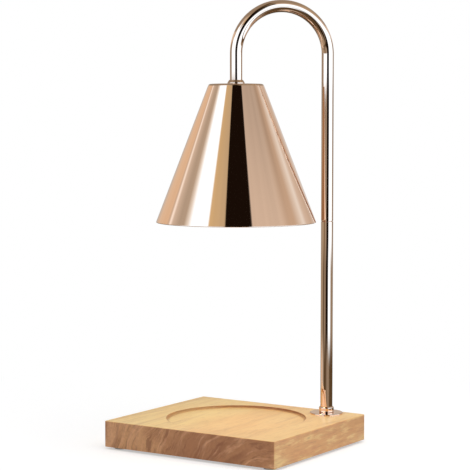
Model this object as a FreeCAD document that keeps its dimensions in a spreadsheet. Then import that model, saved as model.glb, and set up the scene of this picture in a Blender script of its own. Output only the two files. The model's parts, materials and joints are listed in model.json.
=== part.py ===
"""Candle warmer lamp: a wooden base, a gooseneck pole and a conical shade with a reflector bulb.

Millimetres, +Z up. The origin is the middle of the base on the surface that the feet stand on.
The base's long edge runs along X, the pole stands at the right rear corner, and the lamp's
axis is the Z axis: bulb, shade and candle recess share it.
"""

import FreeCAD, Part
import enum
import math
import os

import Sketcher
from FreeCAD import Vector
from Sketcher import Constraint

# Driving dimensions, in millimetres and degrees.
SIZES = {
    # Base block, its candle recess and its feet.
    "base_width": 154,
    "base_depth": 135,
    "base_thickness": 20,
    "base_corner_radius": 1.6,
    "base_edge_radius": 0.8,
    "recess_diameter": 108.6,
    "recess_depth": 2,
    "recess_floor_radius": 1.1,
    "foot_diameter": 10,
    "foot_height": 2,
    "foot_inset": 9,
    # Wiring cavity under the base, and the cover that closes it.
    "cavity_length": 56,
    "cavity_width": 17,
    "cavity_depth": 13,
    "cavity_pole_margin": 8,
    "cavity_corner_radius": 3,
    "cover_thickness": 1.5,
    "cover_lip": 9,
    "cover_margin": 2.5,
    "cover_clearance": 0.2,
    "cover_corner_radius": 3,
    "cover_screw_inset": 4.5,
    "screw_diameter": 2.5,
    "screw_head_diameter": 4.6,
    "screw_head_height": 0.8,
    "screw_length": 8,
    "pilot_clearance": 0.05,
    # Cord gland in the back wall of the cavity.
    "gland_pole_distance": 34,
    "gland_height": 9.3,
    "gland_diameter": 8.5,
    "gland_bore": 6.4,
    "gland_collar_diameter": 10.6,
    "gland_collar_length": 2,
    # Pole: two lengths of one tube, with their hollow studs and bushes.
    "pole_inset_side": 27,
    "pole_inset_back": 14,
    "tube_diameter": 9.5,
    "tube_wall": 0.7,
    "tube_edge": 0.3,
    "seam_height": 173.7,
    "seam_gap": 0.2,
    "lamp_height": 345,
    "fit_clearance": 0.05,
    "flange_diameter": 26,
    "flange_thickness": 1.3,
    "flange_bevel": 0.5,
    "collar_diameter": 11.6,
    "collar_height": 4.5,
    "collar_bevel": 0.5,
    "stud_hole_clearance": 0.3,
    "stud_reach": 16,
    "washer_diameter": 14,
    "washer_thickness": 1,
    "nut_flats": 11,
    "nut_height": 2.5,
    "stud_end": 0.3,
    "bush_length": 15,
    "bush_recess": 1,
    "journal_diameter": 6,
    "journal_length": 12,
    "arm_stud_reach": 12,
    # Leads inside the tube, and the terminal block that they start from.
    "lead_diameter": 3.6,
    "lead_clearance": 0.4,
    "lead_bend_radius": 4.8,
    "lead_gap": 0.3,
    "terminal_length": 16,
    "terminal_width": 10,
    "terminal_height": 10.5,
    "terminal_pole_distance": 9,
    "terminal_hole_depth": 4,
    # Shade and the parts that clamp it to the gooseneck's end.
    "shade_rim_height": 174.1,
    "shade_top_height": 280.4,
    "shade_rim_diameter": 123.6,
    "shade_top_diameter": 42,
    "shade_wall": 0.8,
    "shade_edge_radius": 2.4,
    "shade_hem": 1.7,
    "ring_nut_diameter": 13.3,
    "ring_nut_top_diameter": 10.7,
    "ring_nut_height": 3,
    "ring_nut_rim": 0.9,
    "ring_nut_seat": 1.6,
    "nipple_reach": 12,
    "nipple_drop": 5.2,
    # Lampholder and its bracket.
    "bracket_thickness": 1,
    "bracket_height": 8,
    "bracket_half_span": 8,
    "bracket_half_length": 13,
    "bracket_width": 11,
    "holder_diameter": 27,
    "holder_height": 15,
    "holder_chamfer": 1,
    "holder_face_thickness": 3,
    "holder_chamber_height": 5,
    "holder_hole_depth": 4,
    "holder_screw_spacing": 21.2,
    "holder_screw_diameter": 3,
    "holder_screw_length": 6,
    "holder_screw_head_diameter": 5,
    "holder_screw_head_height": 1.8,
    "slot_clearance": 0.3,
    "chamber_clearance": 0.4,
    "contact_length": 4,
    "contact_width": 3,
    "contact_thickness": 1,
    # Reflector bulb with a two-pin bayonet base.
    "bulb_diameter": 50,
    "bulb_length": 46,
    "bulb_gap": 0.2,
    "bulb_turn": 30,
    "bulb_rim_height": 3,
    "bulb_wall": 1,
    "bowl_shoulder_diameter": 45,
    "bowl_shoulder_height": 11,
    "bowl_waist_diameter": 35,
    "bowl_waist_height": 22,
    "lens_thickness": 2.2,
    "cap_diameter": 21,
    "cap_length": 14,
    "cap_taper": 1,
    "cap_taper_length": 5,
    "neck_wall": 2.6,
    "neck_depth": 4,
    "pin_spacing": 10,
    "pin_diameter": 3,
    "pin_length": 6.8,
    "pin_head_diameter": 5,
    "pin_head_height": 2,
    "capsule_diameter": 9,
    "capsule_length": 19,
    "capsule_tip": 3,
}

doc = FreeCAD.newDocument("CandleWarmerLamp")
sheet = doc.addObject("Spreadsheet::Sheet", "Sizes")
for row, (alias, size) in enumerate(SIZES.items(), start=1):
    sheet.set(f"A{row}", alias)
    sheet.set(f"B{row}", str(size))
    sheet.setAlias(f"B{row}", alias)
doc.recompute()

# Places that several pieces share, worked out from the driving dimensions.
BASE_TOP = "(Sizes.foot_height + Sizes.base_thickness)"
CAVITY_ROOF = "(Sizes.foot_height + Sizes.cavity_depth)"
POLE_X = "(Sizes.base_width / 2 - Sizes.pole_inset_side)"
POLE_Y = "(Sizes.base_depth / 2 - Sizes.pole_inset_back)"
CAVITY_RIGHT = f"({POLE_X} + Sizes.cavity_pole_margin)"
CAVITY_LEFT = f"({CAVITY_RIGHT} - Sizes.cavity_length)"
CAVITY_FRONT = f"({POLE_Y} - Sizes.cavity_width / 2)"
CAVITY_BACK = f"({POLE_Y} + Sizes.cavity_width / 2)"
COVER_LEFT = f"({CAVITY_LEFT} - Sizes.cover_lip)"
COVER_FRONT = f"({CAVITY_FRONT} - Sizes.cover_lip)"
COVER_RIGHT = f"({CAVITY_RIGHT} + Sizes.cover_margin)"
COVER_BACK = f"({CAVITY_BACK} + Sizes.cover_margin)"
COVER_SCREWS = (
    (f"({COVER_LEFT} + Sizes.cover_screw_inset)", f"({COVER_FRONT} + Sizes.cover_screw_inset)"),
    (f"({COVER_LEFT} + Sizes.cover_screw_inset)", f"({COVER_BACK} - Sizes.cover_screw_inset)"),
    (f"({COVER_RIGHT} - Sizes.cover_screw_inset)", f"({COVER_FRONT} + Sizes.cover_screw_inset)"),
)
GLAND_X = f"({POLE_X} - Sizes.gland_pole_distance)"
TUBE_BORE = "(Sizes.tube_diameter - 2 * Sizes.tube_wall)"
STUD_DIAMETER = f"({TUBE_BORE} - 2 * Sizes.fit_clearance)"
LEAD_BORE = "(Sizes.lead_diameter + 2 * Sizes.lead_clearance)"
STUD_BOTTOM = f"({CAVITY_ROOF} - Sizes.washer_thickness - Sizes.nut_height - Sizes.stud_end)"
LEAD_RUN_HEIGHT = f"({STUD_BOTTOM} - Sizes.lead_bend_radius)"
FLANGE_TOP = f"({BASE_TOP} + Sizes.flange_thickness)"
BUSH_TOP = "(Sizes.seam_height - Sizes.bush_recess)"
LEAD_SPLIT = f"({BUSH_TOP} - Sizes.journal_length / 2)"
BEND_RADIUS = f"(sqrt({POLE_X} ^ 2 + {POLE_Y} ^ 2) / 2)"
BEND_HEIGHT = f"(Sizes.lamp_height - Sizes.tube_diameter / 2 - {BEND_RADIUS})"
ARM_TURN = f"atan2(-{POLE_Y}; -{POLE_X})"
ARM_BOTTOM = "(Sizes.seam_height + Sizes.seam_gap)"
ARM_END = "(Sizes.shade_top_height + Sizes.ring_nut_height - Sizes.ring_nut_seat)"
SHADE_CEILING = "(Sizes.shade_top_height - Sizes.shade_wall)"
HOLDER_TOP = f"({SHADE_CEILING} - Sizes.bracket_height)"
HOLDER_FACE = f"({HOLDER_TOP} - Sizes.holder_height)"
CHAMBER_ROOF = f"({HOLDER_FACE} + Sizes.holder_face_thickness + Sizes.holder_chamber_height)"
BULB_FACE = f"({HOLDER_FACE} - Sizes.bulb_gap - Sizes.bulb_length)"
CAP_BOTTOM = f"({HOLDER_FACE} - Sizes.bulb_gap - Sizes.cap_length)"
CAP_TOP = f"({HOLDER_FACE} - Sizes.bulb_gap)"

UP = Vector(0, 0, 1)
TOLERANCE = 1e-4

pieces = []


class SketchAxis(enum.IntEnum):
    """A sketch's own axes, as constraints number them."""

    X = -1
    Y = -2


class SketchPoint(enum.IntEnum):
    """The points of a line, an arc or a circle, as constraints number them."""

    START = 1
    END = 2
    CENTRE = 3


START, END, CENTRE = SketchPoint
ORIGIN = (SketchAxis.X, START)


def number(expression):
    """The present value of an expression on the sheet."""
    return float(sheet.evalExpression(expression.replace("Sizes.", "")))


def place(piece, x="0", y="0", z="0"):
    """Bind a piece's position to three expressions."""
    for axis, expression in zip("xyz", (x, y, z)):
        piece.setExpression(f"Placement.Base.{axis}", expression)


def new_body(label, x="0", y="0", z="0"):
    """An empty body that will be exported under its label."""
    body = doc.addObject("PartDesign::Body", label)
    body.Label = label
    place(body, x, y, z)
    pieces.append(body)
    return body


def new_sketch(body, name, plane="XY_Plane", offset="0"):
    """A sketch on one of the body's own planes, moved along that plane's normal."""
    sketch = body.newObject("Sketcher::SketchObject", name)
    support = next(item for item in body.Origin.OriginFeatures if item.Role == plane)
    sketch.AttachmentSupport = [(support, "")]
    sketch.MapMode = "FlatFace"
    sketch.setExpression("AttachmentOffset.Base.z", offset)
    return sketch


def bind(sketch, kind, references, expression):
    """Add a dimension to a sketch and bind it to an expression."""
    index = sketch.addConstraint(Constraint(kind, *references, number(expression)))
    sketch.setExpression(f"Constraints[{index}]", expression)


def pin_point(sketch, geometry, end, x, y):
    """Hold a point of the sketch at two expressions."""
    for expression, kind, axis in ((x, "DistanceX", SketchAxis.Y), (y, "DistanceY", SketchAxis.X)):
        if expression == "0":
            sketch.addConstraint(Constraint("PointOnObject", geometry, end, axis))
        else:
            bind(sketch, kind, (*ORIGIN, geometry, end), expression)


def circle(sketch, diameter, x="0", y="0"):
    """A circle of the given diameter around a point."""
    shape = Part.Circle(Vector(number(x), number(y), 0), UP, number(diameter) / 2)
    geometry = sketch.addGeometry(shape)
    pin_point(sketch, geometry, CENTRE, x, y)
    bind(sketch, "Diameter", (geometry,), diameter)


def arc_between(start, stop, radius, side):
    """The short arc from start to stop whose centre lies on the given side of the way there."""
    chord = stop - start
    middle = (start + stop) / 2
    height = (radius ** 2 - (chord.Length / 2) ** 2) ** 0.5
    left = UP.cross(chord).normalize()
    centre = middle + left * (height if side == "left" else -height)
    first, last = (start, stop) if side == "left" else (stop, start)
    ring = Part.Circle(centre, UP, radius)
    return Part.ArcOfCircle(ring, ring.parameter(first), ring.parameter(last))


def outline(sketch, corners):
    """A closed outline: corners are (x, y), or (x, y, radius, side) where an arc starts."""
    points = [Vector(number(corner[0]), number(corner[1]), 0) for corner in corners]
    runs = []
    for index, corner in enumerate(corners):
        start, stop = points[index], points[(index + 1) % len(points)]
        if len(corner) == 2:
            runs.append((sketch.addGeometry(Part.LineSegment(start, stop)), START, END))
            continue
        radius, side = corner[2:]
        geometry = sketch.addGeometry(arc_between(start, stop, number(radius), side))
        runs.append((geometry, START, END) if side == "left" else (geometry, END, START))
    for index, corner in enumerate(corners):
        geometry, first, last = runs[index]
        previous = runs[index - 1]
        sketch.addConstraint(Constraint("Coincident", previous[0], previous[2], geometry, first))
        pin_point(sketch, geometry, first, corner[0], corner[1])
    for index, corner in enumerate(corners):
        if len(corner) > 2:
            bind(sketch, "Radius", (runs[index][0],), corner[2])


def rectangle(sketch, left, right, front, back, radius=None):
    """A rectangle between four expressions, with rounded corners if a radius is given."""
    if radius is None:
        outline(sketch, [(left, front), (right, front), (right, back), (left, back)])
        return
    outline(sketch, [
        (f"{left} + {radius}", front), (f"{right} - {radius}", front, radius, "left"),
        (right, f"{front} + {radius}"), (right, f"{back} - {radius}", radius, "left"),
        (f"{right} - {radius}", back), (f"{left} + {radius}", back, radius, "left"),
        (left, f"{back} - {radius}"), (left, f"{front} + {radius}", radius, "left"),
    ])


def hexagon(sketch, flats):
    """A regular hexagon around the origin, given across its flats."""
    reach = f"{flats} / sqrt(3)"
    outline(sketch, [(f"{reach} * cos({turn})", f"{reach} * sin({turn})")
                     for turn in range(0, 360, 60)])


def pad(body, sketch, length, both_ways=False):
    """Raise a sketch along its plane's normal, or half of it each way."""
    feature = body.newObject("PartDesign::Pad", sketch.Name + "Pad")
    feature.Profile = sketch
    feature.Midplane = both_ways
    feature.setExpression("Length", length)
    doc.recompute()
    return feature


def pocket(body, sketch, depth, along_normal=False):
    """Cut a sketch into the body, against its plane's normal or along it."""
    before = body.Shape.Volume
    feature = body.newObject("PartDesign::Pocket", sketch.Name + "Pocket")
    feature.Profile = sketch
    feature.Reversed = along_normal
    feature.setExpression("Length", depth)
    doc.recompute()
    if body.Shape.Volume > before - TOLERANCE:
        raise RuntimeError(f"{feature.Name} cuts nothing")
    return feature


def revolve(body, sketch):
    """Turn a sketch once around the body's own Z axis."""
    feature = body.newObject("PartDesign::Revolution", sketch.Name + "Turn")
    feature.Profile = sketch
    feature.ReferenceAxis = (sketch, ["V_Axis"])
    feature.Angle = 360
    doc.recompute()
    return feature


def twin(body, features):
    """Repeat features half a turn further round the body's Z axis."""
    pattern = body.newObject("PartDesign::PolarPattern", "Twin")
    pattern.Originals = features
    axis = next(item for item in body.Origin.OriginFeatures if item.Role == "Z_Axis")
    pattern.Axis = (axis, [""])
    pattern.Angle = 360
    pattern.Occurrences = 2
    body.Tip = pattern
    doc.recompute()
    return pattern


def edges_where(feature, test):
    """The names of a feature's edges that pass a test."""
    return [f"Edge{index}" for index, edge in enumerate(feature.Shape.Edges, start=1) if test(edge)]


def ring_edges(feature, diameter, height):
    """The names of the circular edges of one diameter at one height."""
    radius, level = number(diameter) / 2, number(height)

    def matches(edge):
        return (isinstance(edge.Curve, Part.Circle) and abs(edge.Curve.Radius - radius) < TOLERANCE
                and abs(edge.CenterOfMass.z - level) < TOLERANCE)

    return edges_where(feature, matches)


def round_off(body, feature, edges, radius):
    """Round the named edges of a feature."""
    fillet = body.newObject("PartDesign::Fillet", "Round")
    fillet.Base = (feature, edges)
    fillet.setExpression("Radius", radius)
    doc.recompute()
    return fillet


def bevel(body, feature, edges, size):
    """Chamfer the named edges of a feature."""
    chamfer = body.newObject("PartDesign::Chamfer", "Bevel")
    chamfer.Base = (feature, edges)
    chamfer.setExpression("Size", size)
    doc.recompute()
    return chamfer


def turned(label, corners, x="0", y="0", z="0"):
    """A piece turned around an upright axis from an outline of (radius, height) corners."""
    body = new_body(label, x, y, z)
    sketch = new_sketch(body, label + "_outline", "XZ_Plane")
    outline(sketch, corners)
    revolve(body, sketch)
    return body


def sleeve(label, outer, inner, length, x="0", y="0", z="0"):
    """A plain tube, bush or washer, given by its two diameters and its length."""
    corners = [(f"{inner} / 2", "0"), (f"{outer} / 2", "0"),
               (f"{outer} / 2", length), (f"{inner} / 2", length)]
    return turned(label, corners, x, y, z)


def hex_nut(label, x="0", y="0", z="0"):
    """A thin hexagon nut for the hollow studs."""
    body = new_body(label, x, y, z)
    sketch = new_sketch(body, label + "_outline")
    hexagon(sketch, "Sizes.nut_flats")
    circle(sketch, TUBE_BORE)
    pad(body, sketch, "Sizes.nut_height")


def sweep(body, profile, path):
    """Carry a profile along every edge of a path."""
    pipe = body.newObject("PartDesign::AdditivePipe", body.Label + "_sweep")
    pipe.Profile = profile
    pipe.Spine = (path, [f"Edge{index + 1}" for index in range(path.GeometryCount)])
    doc.recompute()
    return pipe


def gooseneck_path(body, rise, drop_end):
    """Up from the origin, over in a half circle, and down to a height, in the body's XZ plane."""
    path = new_sketch(body, body.Label + "_path", "XZ_Plane")
    radius, top, end = number(BEND_RADIUS), number(rise), number(drop_end)
    up = path.addGeometry(Part.LineSegment(Vector(), Vector(0, top, 0)))
    ring = Part.Circle(Vector(radius, top, 0), UP, radius)
    bend = path.addGeometry(Part.ArcOfCircle(ring, 0, ring.parameter(Vector(0, top, 0))))
    down = path.addGeometry(
        Part.LineSegment(Vector(2 * radius, top, 0), Vector(2 * radius, end, 0)))
    path.addConstraint(Constraint("Coincident", up, START, *ORIGIN))
    path.addConstraint(Constraint("Vertical", up))
    path.addConstraint(Constraint("Tangent", up, END, bend, END))
    path.addConstraint(Constraint("Tangent", bend, START, down, START))
    path.addConstraint(Constraint("Vertical", down))
    bind(path, "DistanceY", (up, START, up, END), rise)
    bind(path, "Radius", (bend,), BEND_RADIUS)
    bind(path, "DistanceY", (*ORIGIN, down, END), drop_end)
    return path


def make_base_block():
    """Solid wood slab with the candle recess on top and the wiring cavity underneath."""
    body = new_body("base_block", z="Sizes.foot_height")
    slab = new_sketch(body, "slab")
    rectangle(slab, "-Sizes.base_width / 2", "Sizes.base_width / 2",
              "-Sizes.base_depth / 2", "Sizes.base_depth / 2", "Sizes.base_corner_radius")
    block = pad(body, slab, "Sizes.base_thickness")
    level = number("Sizes.base_thickness")
    rim = edges_where(block, lambda edge: abs(edge.BoundBox.ZMin - level) < TOLERANCE)
    round_off(body, block, rim, "Sizes.base_edge_radius")

    recess = new_sketch(body, "recess", offset="Sizes.base_thickness")
    circle(recess, "Sizes.recess_diameter")
    hollow = pocket(body, recess, "Sizes.recess_depth")
    floor = "Sizes.base_thickness - Sizes.recess_depth"
    round_off(body, hollow, ring_edges(hollow, "Sizes.recess_diameter", floor),
              "Sizes.recess_floor_radius")

    stud_hole = new_sketch(body, "stud_hole")
    circle(stud_hole, f"{STUD_DIAMETER} + 2 * Sizes.stud_hole_clearance", POLE_X, POLE_Y)
    pocket(body, stud_hole, "Sizes.base_thickness", along_normal=True)

    cavity = new_sketch(body, "cavity")
    rectangle(cavity, CAVITY_LEFT, CAVITY_RIGHT, CAVITY_FRONT, CAVITY_BACK,
              "Sizes.cavity_corner_radius")
    pocket(body, cavity, "Sizes.cavity_depth", along_normal=True)

    rebate = new_sketch(body, "cover_rebate")
    rectangle(rebate, COVER_LEFT, COVER_RIGHT, COVER_FRONT, COVER_BACK,
              "Sizes.cover_corner_radius")
    pocket(body, rebate, "Sizes.cover_thickness", along_normal=True)

    pilots = new_sketch(body, "cover_pilots")
    for x, y in COVER_SCREWS:
        circle(pilots, "Sizes.screw_diameter + 2 * Sizes.pilot_clearance", x, y)
    pocket(body, pilots, "Sizes.screw_length + Sizes.pilot_clearance", along_normal=True)

    gland_hole = new_sketch(body, "gland_hole", "XZ_Plane", "-Sizes.base_depth / 2")
    circle(gland_hole, "Sizes.gland_diameter + 2 * Sizes.fit_clearance",
           GLAND_X, "Sizes.gland_height - Sizes.foot_height")
    pocket(body, gland_hole, "Sizes.cavity_width / 2", along_normal=True)


def make_feet():
    """Four round pads near the corners."""
    body = new_body("feet")
    sketch = new_sketch(body, "foot_circles")
    for side in ("-", ""):
        for end in ("-", ""):
            circle(sketch, "Sizes.foot_diameter", f"{side}(Sizes.base_width / 2 - Sizes.foot_inset)",
                   f"{end}(Sizes.base_depth / 2 - Sizes.foot_inset)")
    pad(body, sketch, "Sizes.foot_height")


def make_cover():
    """Thin plate, flush with the underside, with three counterbored screw holes."""
    body = new_body("bottom_cover", z="Sizes.foot_height")
    sketch = new_sketch(body, "cover_outline")
    gap = "Sizes.cover_clearance"
    rectangle(sketch, f"{COVER_LEFT} + {gap}", f"{COVER_RIGHT} - {gap}",
              f"{COVER_FRONT} + {gap}", f"{COVER_BACK} - {gap}",
              f"(Sizes.cover_corner_radius - {gap})")
    pad(body, sketch, "Sizes.cover_thickness")
    for name, diameter, depth in (
            ("cover_holes", "Sizes.screw_diameter", "Sizes.cover_thickness"),
            ("cover_counterbores", "Sizes.screw_head_diameter", "Sizes.screw_head_height")):
        holes = new_sketch(body, name)
        for x, y in COVER_SCREWS:
            circle(holes, f"{diameter} + 2 * Sizes.pilot_clearance", x, y)
        pocket(body, holes, depth, along_normal=True)


def make_cover_screws():
    """Three wood screws, their flat heads flush with the cover."""
    screws = []
    for index, (x, y) in enumerate(COVER_SCREWS, start=1):
        head = doc.addObject("Part::Cylinder", f"cover_screw_head_{index}")
        head.setExpression("Radius", "Sizes.screw_head_diameter / 2")
        head.setExpression("Height", "Sizes.screw_head_height")
        shank = doc.addObject("Part::Cylinder", f"cover_screw_shank_{index}")
        shank.setExpression("Radius", "Sizes.screw_diameter / 2")
        shank.setExpression("Height", "Sizes.screw_length")
        for part in (head, shank):
            place(part, x, y, "Sizes.foot_height")
        screw = doc.addObject("Part::Fuse", f"cover_screw_{index}")
        screw.Base, screw.Tool = head, shank
        screws.append(screw)
    group = doc.addObject("Part::Compound", "cover_screws")
    group.Label = "cover_screws"
    group.Links = screws
    pieces.append(group)


def make_gland():
    """Bush for the supply cord, flush with the back face and collared inside the cavity."""
    body = new_body("cord_gland", GLAND_X, "Sizes.base_depth / 2", "Sizes.gland_height")
    tube = new_sketch(body, "gland_tube", "XZ_Plane")
    circle(tube, "Sizes.gland_diameter")
    pad(body, tube, f"Sizes.base_depth / 2 - {CAVITY_BACK}")
    collar = new_sketch(body, "gland_collar", "XZ_Plane", f"Sizes.base_depth / 2 - {CAVITY_BACK}")
    circle(collar, "Sizes.gland_collar_diameter")
    pad(body, collar, "Sizes.gland_collar_length")
    bore = new_sketch(body, "gland_bore", "XZ_Plane")
    circle(bore, "Sizes.gland_bore")
    pocket(body, bore, "Sizes.cavity_width", along_normal=True)


def make_terminal_block():
    """Screw terminal block under the cavity's roof, with a blind hole for the lead."""
    body = new_body("terminal_block", f"{POLE_X} - Sizes.terminal_pole_distance",
                    POLE_Y, f"{CAVITY_ROOF} - Sizes.terminal_height")
    sketch = new_sketch(body, "terminal_outline")
    rectangle(sketch, "-Sizes.terminal_length", "0",
              "-Sizes.terminal_width / 2", "Sizes.terminal_width / 2")
    pad(body, sketch, "Sizes.terminal_height")
    hole = new_sketch(body, "terminal_hole", "YZ_Plane")
    circle(hole, LEAD_BORE, "0", f"{LEAD_RUN_HEIGHT} - {CAVITY_ROOF} + Sizes.terminal_height")
    pocket(body, hole, "Sizes.terminal_hole_depth")


def make_pole_foot():
    """Flange, collar, hollow stud, washer and nut that clamp the pole to the base."""
    edge = "Sizes.flange_bevel"
    turned("pole_flange", [
        (f"{TUBE_BORE} / 2", "0"),
        ("Sizes.flange_diameter / 2", "0"),
        ("Sizes.flange_diameter / 2", f"Sizes.flange_thickness - {edge}"),
        (f"Sizes.flange_diameter / 2 - {edge}", "Sizes.flange_thickness"),
        (f"{TUBE_BORE} / 2", "Sizes.flange_thickness"),
    ], POLE_X, POLE_Y, BASE_TOP)
    edge = "Sizes.collar_bevel"
    bore = "(Sizes.tube_diameter / 2 + Sizes.fit_clearance)"
    turned("pole_collar", [
        (bore, "0"),
        ("Sizes.collar_diameter / 2", "0"),
        ("Sizes.collar_diameter / 2", f"Sizes.collar_height - {edge}"),
        (f"Sizes.collar_diameter / 2 - {edge}", "Sizes.collar_height"),
        (bore, "Sizes.collar_height"),
    ], POLE_X, POLE_Y, FLANGE_TOP)
    sleeve("base_stud", STUD_DIAMETER, LEAD_BORE,
           f"{FLANGE_TOP} + Sizes.stud_reach - {STUD_BOTTOM}", POLE_X, POLE_Y, STUD_BOTTOM)
    sleeve("base_washer", "Sizes.washer_diameter", TUBE_BORE, "Sizes.washer_thickness",
           POLE_X, POLE_Y, f"{CAVITY_ROOF} - Sizes.washer_thickness")
    hex_nut("base_nut", POLE_X, POLE_Y,
            f"{CAVITY_ROOF} - Sizes.washer_thickness - Sizes.nut_height")


def make_lower_pole():
    """Straight tube from the flange to the seam, with a small bevel at the seam."""
    length = f"(Sizes.seam_height - {FLANGE_TOP})"
    turned("lower_pole", [
        (f"{TUBE_BORE} / 2", "0"),
        ("Sizes.tube_diameter / 2", "0"),
        ("Sizes.tube_diameter / 2", f"{length} - Sizes.tube_edge"),
        ("Sizes.tube_diameter / 2 - Sizes.tube_edge", length),
        (f"{TUBE_BORE} / 2", length),
    ], POLE_X, POLE_Y, FLANGE_TOP)


def make_swivel():
    """Threaded bush in the lower pole, and the hollow stud of the arm that turns in it."""
    bush_bore = "(Sizes.journal_diameter + 2 * Sizes.fit_clearance)"
    sleeve("pole_bush", STUD_DIAMETER, bush_bore, "Sizes.bush_length",
           POLE_X, POLE_Y, f"{BUSH_TOP} - Sizes.bush_length")
    shoulder = "(Sizes.journal_length + Sizes.fit_clearance)"
    top = f"({ARM_BOTTOM} + Sizes.arm_stud_reach - {BUSH_TOP} + Sizes.journal_length)"
    turned("arm_stud", [
        (f"{LEAD_BORE} / 2", "0"),
        ("Sizes.journal_diameter / 2", "0"),
        ("Sizes.journal_diameter / 2", shoulder),
        (f"{STUD_DIAMETER} / 2", shoulder),
        (f"{STUD_DIAMETER} / 2", top),
        (f"{LEAD_BORE} / 2", top),
    ], POLE_X, POLE_Y, f"{BUSH_TOP} - Sizes.journal_length")


def turn_to_lamp(body):
    """Turn a body about Z so that its local +X points from the pole to the lamp's axis."""
    body.setExpression("Placement.Rotation.Angle", ARM_TURN)


def make_gooseneck():
    """Upper tube: up from the seam, over in a half circle and down into the ring nut."""
    body = new_body("gooseneck", POLE_X, POLE_Y, ARM_BOTTOM)
    turn_to_lamp(body)
    path = gooseneck_path(body, f"{BEND_HEIGHT} - {ARM_BOTTOM}", f"{ARM_END} - {ARM_BOTTOM}")
    ring = new_sketch(body, "gooseneck_ring")
    circle(ring, "Sizes.tube_diameter")
    circle(ring, TUBE_BORE)
    tube = sweep(body, ring, path)
    bevel(body, tube, ring_edges(tube, "Sizes.tube_diameter", "0"), "Sizes.tube_edge")


def make_leads():
    """The supply lead inside the tube, in two lengths that meet inside the swivel."""
    start = f"({POLE_X} - Sizes.terminal_pole_distance - Sizes.terminal_hole_depth)"
    lower = new_body("lower_lead", start, POLE_Y, LEAD_RUN_HEIGHT)
    path = new_sketch(lower, "lower_lead_path", "XZ_Plane")
    run = "(Sizes.terminal_pole_distance + Sizes.terminal_hole_depth - Sizes.lead_bend_radius)"
    rise = f"({LEAD_SPLIT} - {LEAD_RUN_HEIGHT})"
    radius, reach, top = number("Sizes.lead_bend_radius"), number(run), number(rise)
    centre = Vector(reach, radius, 0)
    ring = Part.Circle(centre, UP, radius)
    along = path.addGeometry(Part.LineSegment(Vector(), Vector(reach, 0, 0)))
    low, high = Vector(reach, 0, 0), Vector(reach + radius, radius, 0)
    bend = path.addGeometry(Part.ArcOfCircle(ring, ring.parameter(low), math.tau))
    up = path.addGeometry(Part.LineSegment(high, Vector(reach + radius, top, 0)))
    path.addConstraint(Constraint("Coincident", along, START, *ORIGIN))
    path.addConstraint(Constraint("Horizontal", along))
    path.addConstraint(Constraint("Tangent", along, END, bend, START))
    path.addConstraint(Constraint("Tangent", bend, END, up, START))
    path.addConstraint(Constraint("Vertical", up))
    bind(path, "DistanceX", (along, START, along, END), run)
    bind(path, "Radius", (bend,), "Sizes.lead_bend_radius")
    bind(path, "DistanceY", (*ORIGIN, up, END), rise)
    section = new_sketch(lower, "lower_lead_section", "YZ_Plane")
    circle(section, "Sizes.lead_diameter")
    sweep(lower, section, path)

    bottom = f"({LEAD_SPLIT} + Sizes.lead_gap)"
    upper = new_body("upper_lead", POLE_X, POLE_Y, bottom)
    turn_to_lamp(upper)
    lead_end = f"({HOLDER_TOP} - Sizes.holder_hole_depth + Sizes.lead_gap)"
    path = gooseneck_path(upper, f"{BEND_HEIGHT} - {bottom}", f"{lead_end} - {bottom}")
    section = new_sketch(upper, "upper_lead_section")
    circle(section, "Sizes.lead_diameter")
    sweep(upper, section, path)


def make_shade():
    """Spun cone with a flat top, a rounded shoulder and a thick hem at the rim."""
    height = "(Sizes.shade_top_height - Sizes.shade_rim_height)"
    rim, crown = "(Sizes.shade_rim_diameter / 2)", "(Sizes.shade_top_diameter / 2)"
    slope = f"(({rim} - {crown}) / {height})"
    slant = f"sqrt(1 + {slope} ^ 2)"
    inset = f"(Sizes.shade_wall * {slant})"
    body = new_body("shade", z="Sizes.shade_rim_height")
    sketch = new_sketch(body, "shade_outline", "XZ_Plane")
    outline(sketch, [
        (f"{rim} - Sizes.shade_hem", "0"),
        (rim, "0"),
        (crown, height),
        (f"{STUD_DIAMETER} / 2 + Sizes.fit_clearance", height),
        (f"{STUD_DIAMETER} / 2 + Sizes.fit_clearance", f"{height} - Sizes.shade_wall"),
        (f"{crown} + {slope} * Sizes.shade_wall - {inset}", f"{height} - Sizes.shade_wall"),
        (f"{rim} - {slope} * Sizes.shade_hem - {inset}", "Sizes.shade_hem"),
        (f"{rim} - Sizes.shade_hem", "Sizes.shade_hem"),
    ])
    cone = revolve(body, sketch)
    shoulder = ring_edges(cone, f"2 * {crown}", height)
    round_off(body, cone, shoulder, "Sizes.shade_edge_radius")


def make_shade_fixing():
    """Ring nut above the shade, threaded nipple through it, and the nut that draws them up."""
    thread = f"({STUD_DIAMETER} / 2 + Sizes.fit_clearance)"
    seat = "(Sizes.tube_diameter / 2 + Sizes.fit_clearance)"
    seat_floor = "(Sizes.ring_nut_height - Sizes.ring_nut_seat)"
    turned("shade_ring_nut", [
        (thread, "0"),
        ("Sizes.ring_nut_diameter / 2", "0"),
        ("Sizes.ring_nut_diameter / 2", "Sizes.ring_nut_rim"),
        ("Sizes.ring_nut_top_diameter / 2", "Sizes.ring_nut_height"),
        (seat, "Sizes.ring_nut_height"),
        (seat, seat_floor),
        (thread, seat_floor),
    ], z="Sizes.shade_top_height")
    bottom = f"({SHADE_CEILING} - Sizes.nipple_drop)"
    sleeve("holder_nipple", STUD_DIAMETER, LEAD_BORE,
           f"{ARM_END} + Sizes.nipple_reach - {bottom}", z=bottom)
    hex_nut("holder_nut", z=f"{SHADE_CEILING} - Sizes.bracket_thickness - Sizes.nut_height")


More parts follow.
